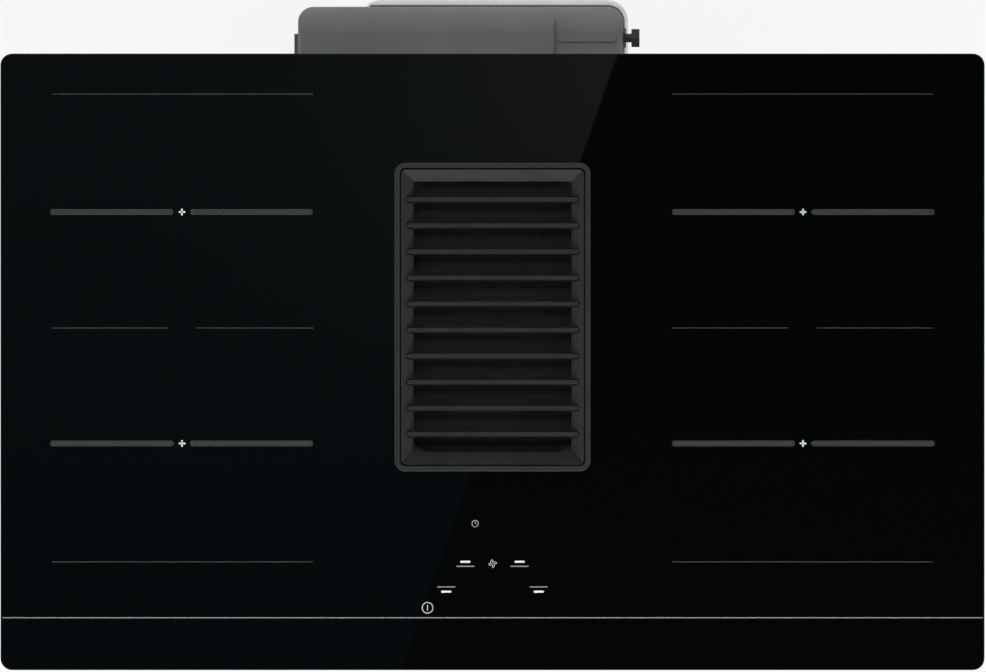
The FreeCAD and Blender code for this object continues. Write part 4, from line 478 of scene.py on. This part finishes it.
housing_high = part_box("fan_housing_rear")[1]
rim_low, rim_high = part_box("duct_collar")
bead_radius = 0.0010
bead_offset = 0.0008
bead_level = rim_high.z + 0.0007
bead_start = rim_low.x + 0.0075
bead_end = 0.250
foot_round = 0.013
round_x = housing_high.x - foot_round
round_y = housing_high.y - foot_round
bead_round = foot_round + bead_offset
bend = np.linspace(np.pi / 2, 0.0, 17)
rounded_tip = bead_start + np.array([0.0, 0.0002, 0.0005, 0.0010, 0.0018])
along_back = np.linspace(bead_start + 0.006, round_x - 0.002, 24)
along_side = np.linspace(round_y - 0.003, bead_end, 8)
bead_path = np.concatenate([
    straight_run(np.concatenate([rounded_tip, along_back]), housing_high.y + bead_offset),
    np.stack([round_x + bead_round * np.cos(bend), round_y + bead_round * np.sin(bend)], axis=-1),
    straight_run(housing_high.x + bead_offset, along_side)])
# The cord's grey is painted shade, toned like the shadow in the gap between the housing and the rim.
shade_cord_grey = soft_rubber("shade_cord_grey", dark=(0.200, 0.200, 0.206), pale=(0.240, 0.240, 0.247))
swept_bead("collar_shade_cord", bead_path, bead_level, bead_radius, shade_cord_grey, "cooktop")


# Worktop clamps: four plated straps under the corners that swing out below the worktop on shoulder screws.
# Each carries a jack screw at its free end, backed off here, which presses up against the board.
dress(plated_steel, "clamp_pivots")
plated_strap = rolled_metal(
    "zinc_plated_strap", dark=(0.50, 0.51, 0.52), pale=(0.64, 0.65, 0.66), gloss=(0.30, 0.44),
    streak=(1.0, 0.06, 1.0), metallic=1.0)
dress(plated_strap, *["worktop_clamp_" + corner for corner in four_places])


def jack_screw(name, x, y, top, low, radius, pitch, finish, body):
    """Screw hung point up: a thread of radius R - depth * (triangle wave of z / pitch + turn), then a flat head."""
    around = 20
    rows_per_pitch = 5
    thread_depth = 0.55 * pitch
    tip_radius = 0.72 * radius
    head_radius = 1.75 * radius
    head_share = np.array([0.6, 1.0, 1.0, 0.93, 0.0])
    head_drop = np.array([0.0, 0.0004, 0.0030, 0.0036, 0.0036])
    turn = 2 * np.pi * np.arange(around) / around
    height = np.linspace(top, low, int(round((top - low) / pitch * rows_per_pitch)) + 1)
    phase = (height[:, None] / pitch + turn[None, :] / (2 * np.pi)) % 1.0
    shank = radius - thread_depth * abs(2 * phase - 1)
    shank[0] = 0.0
    shank[1] = tip_radius
    ring = np.concatenate([shank, head_radius * head_share[:, None] * np.ones((1, around))])
    level = np.concatenate([height, low - head_drop])[:, None] * np.ones((1, around))
    corners = np.stack([x + ring * np.cos(turn), y + ring * np.sin(turn), level], axis=-1).reshape(-1, 3)
    return put_piece(name, corners, band_faces(len(ring), around)[:, ::-1], finish, body)


jack_radius, jack_pitch = 0.0030, 0.0010
jack_from_end = 0.014
jack_proud, jack_length = 0.0006, 0.022
for corner in four_places:
    low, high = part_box("worktop_clamp_" + corner)
    towards_middle = 1 if corner.startswith("front") else -1
    free_end = high.y if towards_middle > 0 else low.y
    screw = jack_screw(
        "jack_screw_" + corner, (low.x + high.x) / 2, free_end - towards_middle * jack_from_end,
        high.z + jack_proud, high.z - jack_length, jack_radius, jack_pitch, plated_steel, "clamp_" + corner)


# Glass: a plate of black glass ceramic 4 mm thick with ground, polished edges, glued to the trays.
# It is a deep blue black, glossy, with the faint haze of wiped grease in its shine.
def black_glass(name):
    """Glass ceramic: nearly black with pin-prick grain, its mirror gloss broken by a faint wiped haze."""
    finish, tree, shader, place = begin_finish(name)
    grain = cloud(tree, place, per_metre=900.0, detail=1.0)
    tint(tree, shader, grain, (0.0010, 0.0014, 0.0018), (0.0020, 0.0026, 0.0031))
    wiped = cloud(tree, drawn_out(tree, place, (1.0, 0.25, 1.0)), per_metre=18.0, detail=6.0)
    polish(tree, shader, wiped, smooth=0.010, dull=0.028)
    shader.inputs["IOR"].default_value = 1.5
    return finish


dress(black_glass("black_glass_ceramic"), "glass_top")


# Zone and control prints: ceramic ink fired onto the glass by screen printing, in white, silver and two greys.
# Dotted lines bound each pair of zones, halftone bars cross their middles, and small signs mark the touch keys.
def fired_ink(name, thin, thick):
    """Fired ink: uneven cover that lets a little of the glass show, matt."""
    finish, tree, shader, place = begin_finish(name)
    tint(tree, shader, cloud(tree, place, per_metre=1400.0, detail=3.0), thin, thick)
    polish(tree, shader, cloud(tree, place, per_metre=700.0), smooth=0.45, dull=0.65)
    return finish


white_ink = fired_ink("white_ink", thin=(0.88, 0.89, 0.89), thick=(0.96, 0.96, 0.96))
silver_ink = fired_ink("silver_ink", thin=(0.46, 0.47, 0.47), thick=(0.54, 0.55, 0.55))
pale_ink = fired_ink("pale_grey_ink", thin=(0.26, 0.27, 0.27), thick=(0.34, 0.35, 0.35))
grey_ink = fired_ink("mid_grey_ink", thin=(0.155, 0.160, 0.163), thick=(0.195, 0.200, 0.203))
ink_lift = 0.00004
ink_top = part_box("glass_top")[1].z + ink_lift


def print_flat(name, shapes, ink):
    """Flat print: each shape is an outline of (x, y) points that run anticlockwise, one face each, on the glass."""
    counts = [len(shape) for shape in shapes]
    starts = np.concatenate([[0], np.cumsum(counts)[:-1]])
    points = np.concatenate(shapes)
    corners = np.column_stack([points, np.full(len(points), ink_top)])
    return put_piece(name, corners, [range(s, s + n) for s, n in zip(starts, counts)], ink, "cooktop")


def circle(x, y, radius, count=40):
    """Points round a circle, anticlockwise."""
    turn = 2 * np.pi * np.arange(count) / count
    return np.stack([x + radius * np.cos(turn), y + radius * np.sin(turn)], axis=-1)


def print_dots(name, centres, radius, ink):
    """Dots: corner k of each stands at centre + radius * (cos, sin)(k / 8 of a turn)."""
    ring = circle(0.0, 0.0, radius, count=8)
    return print_flat(name, list(np.asarray(centres)[:, None, :] + ring[None, :, :]), ink)


def print_ribbons(name, paths, width, ink):
    """Ribbons of even width along closed paths: the edges are path -+ width / 2 * its normal."""
    corners, faces, start = [], [], 0
    for path in paths:
        step = np.roll(path, -1, axis=0) - np.roll(path, 1, axis=0)
        step /= np.linalg.norm(step, axis=1)[:, None]
        side = np.stack([step[:, 1], -step[:, 0]], axis=-1) * width / 2
        both = np.concatenate([path - side, path + side])
        corners.append(np.column_stack([both, np.full(len(both), ink_top)]))
        faces.append(band_faces(2, len(path))[:, ::-1] + start)
        start += len(both)
    return put_piece(name, np.concatenate(corners), np.concatenate(faces), ink, "cooktop")


def level_bar(x, y, length, thick):
    """Outline of a bar with half-round ends: two half circles, their middles (length - thick) / 2 from the centre."""
    turn = np.linspace(-np.pi / 2, np.pi / 2, 9)
    reach = (length - thick) / 2
    right = np.stack([reach + thick / 2 * np.cos(turn), thick / 2 * np.sin(turn)], axis=-1)
    return np.concatenate([right, -right]) + (x, y)


def upright_bar(x, y, length, thick):
    """The same bar on end: x and y change places, and the points run in the other order to stay anticlockwise."""
    return level_bar(0.0, 0.0, length, thick)[:, ::-1][::-1] + (x, y)


zone_inner, zone_outer = 0.1512, 0.3725
zone_middle = (zone_inner + zone_outer) / 2
line_gap = 0.0225
dot_pitch = 0.0021
edge_dot_radius = 0.00043
whole_line = np.arange(zone_inner + dot_pitch / 2, zone_outer, dot_pitch)
broken_line = whole_line[abs(whole_line - zone_middle) > line_gap / 2]
zone_lines = ((0.2259, whole_line), (0.0286, broken_line), (-0.1687, whole_line))
line_dots = [np.stack([side * line, np.full(len(line), y)], axis=-1) for side in (-1, 1) for y, line in zone_lines]
print_dots("zone_edge_dots", np.concatenate(line_dots), edge_dot_radius, grey_ink)

bar_height = 0.0050
bar_break = 0.0145
bar_levels = (0.1264, -0.0688)
screen_pitch = 0.0020
screen_rows = np.arange(-2, 3)
screen_dot_radius = 0.00044
bar_dots = []
for side in (-1, 1):
    for bar_y in bar_levels:
        columns = np.arange(zone_inner, zone_outer, screen_pitch / 2)
        x, row = np.meshgrid(columns, screen_rows)
        y = row * screen_pitch / 2
        column = np.arange(len(columns))[None, :] + row
        inset = bar_height / 2 - np.sqrt(np.clip((bar_height / 2) ** 2 - y ** 2, 0, None))
        inside = (x > zone_inner + inset) & (x < zone_outer - inset)
        inside &= abs(x - zone_middle) > bar_break / 2 + inset
        keep = inside & (column % 2 == 0)
        bar_dots.append(np.stack([side * x[keep], bar_y + y[keep]], axis=-1))
print_dots("zone_bar_screen", np.concatenate(bar_dots), screen_dot_radius, grey_ink)

plus_length, plus_thick = 0.0058, 0.0014
plus_shapes = [bar(side * zone_middle, bar_y, plus_length, plus_thick)
               for side in (-1, 1) for bar_y in bar_levels for bar in (level_bar, upright_bar)]
print_flat("zone_middle_marks", plus_shapes, white_ink)

line_half = 0.4135
line_front, line_back = -0.21622, -0.21538
edge_line = np.array([
    (-line_half, line_front), (line_half, line_front), (line_half, line_back), (-line_half, line_back)])
print_flat("front_line", [edge_line], pale_ink)

inner_key_x, outer_key_x = 0.0229, 0.0390
key_bar_length, key_bar_thick = 0.0087, 0.0018
key_line_length, key_line_thick = 0.0154, 0.00092
key_bars = [level_bar(side * x, y, key_bar_length, key_bar_thick)
            for side in (-1, 1) for x, y in ((inner_key_x, -0.1686), (outer_key_x, -0.1938))]
print_flat("touch_key_bars", key_bars, white_ink)
key_lines = [level_bar(side * x, y, key_line_length, key_line_thick)
             for side in (-1, 1) for x, y in ((inner_key_x, -0.1724), (outer_key_x, -0.1898))]
print_flat("touch_key_lines", key_lines, pale_ink)

timer_x, timer_y = -0.0146, -0.1364
timer_radius, timer_stroke = 0.0027, 0.0008
up_hand, up_shift = 0.0022, 0.0008
out_hand, out_shift = 0.0018, 0.0006
print_ribbons("timer_ring", [circle(timer_x, timer_y, timer_radius)], timer_stroke, pale_ink)
timer_hands = [upright_bar(timer_x, timer_y + up_shift, up_hand, timer_stroke),
               level_bar(timer_x + out_shift, timer_y, out_hand, timer_stroke)]
print_flat("timer_hands", timer_hands, pale_ink)

power_x, power_y = -0.0548, -0.2074
power_radius, power_stroke, power_length = 0.0045, 0.0009, 0.0048
print_ribbons("power_ring", [circle(power_x, power_y, power_radius, count=48)], power_stroke, silver_ink)
print_flat("power_stroke", [upright_bar(power_x, power_y, power_length, power_stroke)], silver_ink)


def fan_vane(x, y, quarter):
    """A vane of the fan sign: a sheared ellipse beside the hub, out + long * cos t across and
    up + wide * sin t - lean * cos t upwards, turned about the hub by so many quarters."""
    out, up, long, wide, lean = 0.00175, 0.0007, 0.00152, 0.0008, 0.0003
    turn = 2 * np.pi * np.arange(20) / 20
    vane = np.stack([out + long * np.cos(turn), up + wide * np.sin(turn) - lean * np.cos(turn)], axis=-1)
    angle = np.pi / 2 * quarter
    return vane @ np.array([[np.cos(angle), np.sin(angle)], [-np.sin(angle), np.cos(angle)]]) + (x, y)


fan_sign_x, fan_sign_y = 0.0001, -0.1701
hub_radius, vane_stroke = 0.0011, 0.00068
vanes = [fan_vane(fan_sign_x, fan_sign_y, quarter) for quarter in range(4)]
print_ribbons("fan_sign_vanes", vanes, vane_stroke, silver_ink)
print_flat("fan_sign_hub", [circle(fan_sign_x, fan_sign_y, hub_radius, count=16)], silver_ink)


# Intake frame: a satin black trim ring set on the glass, with a ledge inside that the grille rests on.
# Die cast and powder coated, so it has a fine even orange peel.
def black_enamel(name, dark, pale, gloss, shine, peel_per_metre, peel_depth):
    """Baked coat on a casting: even tone with faint clouds, a matt shine, and a soft orange peel."""
    finish, tree, shader, place = begin_finish(name)
    shader.inputs["Specular IOR Level"].default_value = shine
    tint(tree, shader, cloud(tree, place, per_metre=40.0, detail=5.0), dark, pale)
    polish(tree, shader, cloud(tree, place, per_metre=200.0, detail=3.0), *gloss)
    relief(tree, shader, cloud(tree, place, peel_per_metre), peel_depth)
    return finish


frame_coat = black_enamel(
    "satin_frame_coat", dark=(0.0265, 0.0285, 0.0298), pale=(0.0305, 0.0325, 0.0338), gloss=(0.40, 0.52), shine=0.35,
    peel_per_metre=900.0, peel_depth=0.00006)
dress(frame_coat, "intake_frame")


# Grease filter: a folded frame of dark anodised aluminium round two layers of expanded mesh, with two lift loops.
# The mesh is slit and stretched sheet, its strands zigzagging from side to side and meeting at their peaks.
dark_anodised = rolled_metal(
    "dark_anodised_aluminium", dark=(0.045, 0.047, 0.050), pale=(0.060, 0.063, 0.066), gloss=(0.36, 0.50),
    streak=(1.0, 0.1, 1.0), metallic=0.3)
dress(dark_anodised, "filter_frame", "filter_lift_loops")


def expanded_mesh(name, low, high, corner_cut, finish, body):
    """Strands in two layers: x runs from -reach to reach in even steps, y = row's place + swing * (-0.5 or 0.5 by
    turns); each is a closed bar of four sides 0.5 mm across, and the reach shrinks by as much as a row comes near the
    cut-off corners."""
    long_pitch, short_pitch = 0.0034, 0.0019
    half = 0.00026
    swing = 0.92 * short_pitch
    under_top = 0.0005
    layers = np.array([high.z - under_top, (low.z + high.z) / 2])
    steps = int((high.x - low.x) / (long_pitch / 2))
    share = np.linspace(-1.0, 1.0, steps)
    rows = np.arange(low.y + short_pitch, high.y - short_pitch, short_pitch)
    near_end = np.minimum(rows - low.y, high.y - rows) - short_pitch
    reach = (high.x - low.x) / 2 - half - np.clip(corner_cut - near_end, 0.0, None)
    corner = np.array([(-1, 1), (1, 1), (1, -1), (-1, -1)]) * half
    layer, row, step, side = np.meshgrid(
        np.arange(len(layers)), np.arange(len(rows)), np.arange(steps), np.arange(4), indexing="ij")
    zigzag = ((step + row + layer) % 2) - 0.5
    x = (low.x + high.x) / 2 + reach[row] * share[step]
    y = rows[row] + swing * zigzag + corner[side, 0]
    z = layers[layer] + corner[side, 1]
    corners = np.stack([x, y, z], axis=-1).reshape(-1, 3)
    last = 4 * (steps - 1)
    end_caps = [[0, 1, 2, 3], [last + 3, last + 2, last + 1, last]]
    one = np.concatenate([band_faces(steps, 4)[:, ::-1], end_caps])
    strands = len(layers) * len(rows)
    faces = (one[None, :, :] + 4 * steps * np.arange(strands)[:, None, None]).reshape(-1, 4)
    return put_piece(name, corners, faces, finish, body)


pad_low, pad_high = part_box("filter_mesh")
pad_corner_cut = 0.008
pad = expanded_mesh("filter_strands", pad_low, pad_high, pad_corner_cut, dark_anodised, "grease_filter")
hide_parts("filter_mesh")


# Intake grille: one iron casting in matt black enamel, four slopes like a shallow funnel and ten flat bars.
# It lies on rubber buffers on the frame's ledge and lifts out by hand.
grille_enamel = black_enamel(
    "matt_grille_enamel", dark=(0.0256, 0.0282, 0.0300), pale=(0.0302, 0.0328, 0.0348), gloss=(0.46, 0.60), shine=0.14,
    peel_per_metre=700.0, peel_depth=0.00010)
dress(grille_enamel, "intake_grille")


# Studio floor: a pale sheet just under the shaft and the collar, near white to the camera and in mirrors.
# It keeps the shadow, stays dark inside the collar's mouth, and is clear from below, so that the underside shows.
def stage_sheet(name, width, depth, z, finish):
    """A flat level rectangle that isn't part of the object."""
    x, y = np.meshgrid(np.array([-width / 2, width / 2]), np.array([-depth / 2, depth / 2]))
    corners = np.stack([x, y, np.full_like(x, z)], axis=-1).reshape(-1, 3)
    mesh = bpy.data.meshes.new(name)
    mesh.from_pydata(corners.tolist(), [], [[0, 1, 3, 2]])
    mesh.materials.append(finish)
    sheet = bpy.data.objects.new(name, mesh)
    bpy.context.scene.collection.objects.link(sheet)
    return sheet


def along_axes(tree, place):
    """The X, Y and Z of the coordinates."""
    node = tree.nodes.new("ShaderNodeSeparateXYZ")
    tree.links.new(place, node.inputs["Vector"])
    return node.outputs


def mixed_shaders(tree, share, first, last):
    """A surface that is the first at a share of 0 and the last at 1."""
    node = tree.nodes.new("ShaderNodeMixShader")
    for held, output in zip(node.inputs, (share, first, last)):
        tree.links.new(output, held)
    return node.outputs[0]


def pale_floor(name, white_share, mouth_low, mouth_high, mouth_wall):
    """Floor: dull near white, with a share of plain white light for rays from the camera, mirrors and clear pieces.
    The share is nothing where |x - middle| and |y - middle| are both under the half width of the collar's mouth."""
    finish, tree, shader, place = begin_finish(name)
    shader.inputs["Base Color"].default_value = (0.93, 0.93, 0.93, 1.0)
    shader.inputs["Roughness"].default_value = 0.8
    rays = tree.nodes.new("ShaderNodeLightPath").outputs
    second_hand = reckon(tree, "MAXIMUM", rays["Is Glossy Ray"], rays["Is Transmission Ray"])
    seen = reckon(tree, "MAXIMUM", rays["Is Camera Ray"], second_hand)
    middle, half = (mouth_low + mouth_high) / 2, (mouth_high - mouth_low) / 2
    axes = along_axes(tree, place)
    in_mouth = reckon(
        tree, "MULTIPLY", reckon(tree, "COMPARE", axes["X"], middle.x, half.x - mouth_wall),
        reckon(tree, "COMPARE", axes["Y"], middle.y, half.y - mouth_wall))
    white = reckon(tree, "MULTIPLY", seen, reckon(tree, "MULTIPLY_ADD", in_mouth, -white_share, white_share))
    from_above = mixed_shaders(
        tree, white, shader.outputs[0], tree.nodes.new("ShaderNodeEmission").outputs[0])
    both_sides = mixed_shaders(
        tree, tree.nodes.new("ShaderNodeNewGeometry").outputs["Backfacing"], from_above,
        tree.nodes.new("ShaderNodeBsdfTransparent").outputs[0])
    tree.links.new(both_sides, tree.nodes["Material Output"].inputs["Surface"])
    return finish


floor_size = 80.0
floor_drop = 0.0005
floor_finish = pale_floor(
    "studio_floor", white_share=0.85, mouth_low=rim_low, mouth_high=rim_high, mouth_wall=0.006)
stage_sheet("floor", floor_size, floor_size, cad_low.z - floor_drop, floor_finish)


# Sheen card: a dim card above the hob that shows only in mirrors, as a faint sheen on the glass with a slanted edge.
# It is cool all over, and warmer towards its edge and the back.
def slanted_sheen(name):
    """Card: light where x - slope * y is under the edge; a cool part that grows towards the back, and a warm part that
    grows with the square of the nearness to the edge and with y."""
    finish, tree, shader, place = begin_finish(name)
    tree.nodes.remove(shader)
    axes = along_axes(tree, place)
    slope, edge_x, edge_soft, warm_width, warm_strength = 0.3505, 0.0178, 0.001, 0.42, 0.135
    cool_tint, warm_tint = (0.66, 0.96, 1.0, 1.0), (1.0, 0.86, 0.80, 1.0)
    slant = reckon(tree, "MULTIPLY_ADD", axes["Y"], -slope, axes["X"])
    lit = ramp(tree, slant, edge_x - edge_soft, edge_x + edge_soft, 1.0, 0.0)
    near_edge = ramp(tree, slant, edge_x - warm_width, edge_x, 0.0, 1.0)
    far_back = ramp(tree, axes["Y"], -0.05, 0.26, 0.0, 1.0)
    cool = ramp(tree, axes["Y"], -0.20, 0.23, 0.034, 0.084)
    glow = reckon(tree, "MULTIPLY", reckon(tree, "MULTIPLY", near_edge, near_edge), far_back)
    warm = reckon(tree, "MULTIPLY", glow, warm_strength)
    both = tree.nodes.new("ShaderNodeAddShader")
    for held, strength, colour in zip(both.inputs, (cool, warm), (cool_tint, warm_tint)):
        light = tree.nodes.new("ShaderNodeEmission")
        light.inputs["Color"].default_value = colour
        tree.links.new(reckon(tree, "MULTIPLY", lit, strength), light.inputs["Strength"])
        tree.links.new(light.outputs[0], held)
    tree.links.new(both.outputs[0], tree.nodes["Material Output"].inputs["Surface"])
    return finish


card_width, card_depth, card_height = 1.6, 1.2, 0.75
sheen = stage_sheet("sheen_card", card_width, card_depth, card_height, slanted_sheen("sheen_card"))
sheen.visible_camera = False
sheen.visible_diffuse = False
sheen.visible_transmission = False
sheen.visible_shadow = False


# Light: a broad low box in front, which the glass doesn't mirror, one behind and above, and a weak one at each side.
# The sky is bright at the horizon and dark overhead, and white under the horizon, where the floor ends.
def soft_box(name, place, aim, width, height, power, mirrored):
    """An area light at a place, turned so that it faces the aim; the glass shows it only where it is mirrored."""
    lamp = bpy.data.lights.new(name, "AREA")
    lamp.shape = "RECTANGLE"
    lamp.size = width
    lamp.size_y = height
    lamp.energy = power
    light = bpy.data.objects.new(name, lamp)
    bpy.context.scene.collection.objects.link(light)
    z_axis = np.array(place) - np.array(aim)
    z_axis = z_axis / np.linalg.norm(z_axis)
    x_axis = np.cross((0.0, 0.0, 1.0), z_axis)
    x_axis = x_axis / np.linalg.norm(x_axis)
    y_axis = np.cross(z_axis, x_axis)
    turned = np.eye(4)
    turned[:3, 0], turned[:3, 1], turned[:3, 2], turned[:3, 3] = x_axis, y_axis, z_axis, place
    light.matrix_world = turned.T.tolist()
    light.visible_camera = False
    light.visible_glossy = mirrored


hob_middle, hob_back = (0.0, 0.0, 0.0), (0.0, 0.25, 0.0)
soft_box("front_light", (0.0, -2.4, 1.0), hob_middle, width=2.6, height=1.0, power=92.0, mirrored=False)
soft_box("back_light", (0.0, 1.5, 2.5), hob_back, width=1.6, height=0.8, power=16.5, mirrored=True)
soft_box("left_light", (-2.6, 0.6, 1.9), hob_middle, width=1.4, height=1.0, power=2.6, mirrored=True)
soft_box("right_light", (2.6, 0.6, 1.9), hob_middle, width=1.4, height=1.0, power=2.6, mirrored=True)

sky = bpy.data.worlds.new("studio_sky")
bpy.context.scene.world = sky
sky.use_nodes = True
sky_tree = sky.node_tree
sky_rise = along_axes(sky_tree, sky_tree.nodes.new("ShaderNodeTexCoord").outputs["Generated"])["Z"]
low_sky, high_sky = 0.58, 0.02
sky_above = ramp(sky_tree, sky_rise, 0.45, 0.88, low_sky, high_sky, blend="SMOOTHSTEP")
sky_below = reckon(sky_tree, "LESS_THAN", sky_rise, 0.0)
sky_light = sky_tree.nodes["Background"]
sky_light.inputs["Color"].default_value = (1.0, 1.0, 1.0, 1.0)
sky_tree.links.new(reckon(sky_tree, "MAXIMUM", sky_above, sky_below), sky_light.inputs["Strength"])


# Camera: above the hob with a very long lens, framed so that the glass fills the picture from side to side.
# It stands over the collar's rim, 0.6 degrees off upright, so that the low rim shows where a plan view has it.
# The picture is 986 by 672 dots and 0.8433 mm to the dot on the glass.
picture_width, dot_size = 986, 0.0008433
lens, sensor = 1150.0, 36.0
aim_x, aim_y = 0.00042, 0.02184
camera_rise = picture_width * dot_size / 2 / (sensor / 2 / lens)
camera_back = cad_high.y - aim_y
camera_data = bpy.data.cameras.new("camera")
camera_data.lens = lens
camera_data.sensor_width = sensor
camera_data.clip_end = 200.0
camera = bpy.data.objects.new("camera", camera_data)
bpy.context.scene.collection.objects.link(camera)
camera.location = (aim_x, aim_y + camera_back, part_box("glass_top")[1].z + camera_rise)
camera.rotation_euler = (-np.arctan2(camera_back, camera_rise), 0.0, 0.0)
bpy.context.scene.camera = camera
bpy.context.scene.view_settings.view_transform = "Standard"
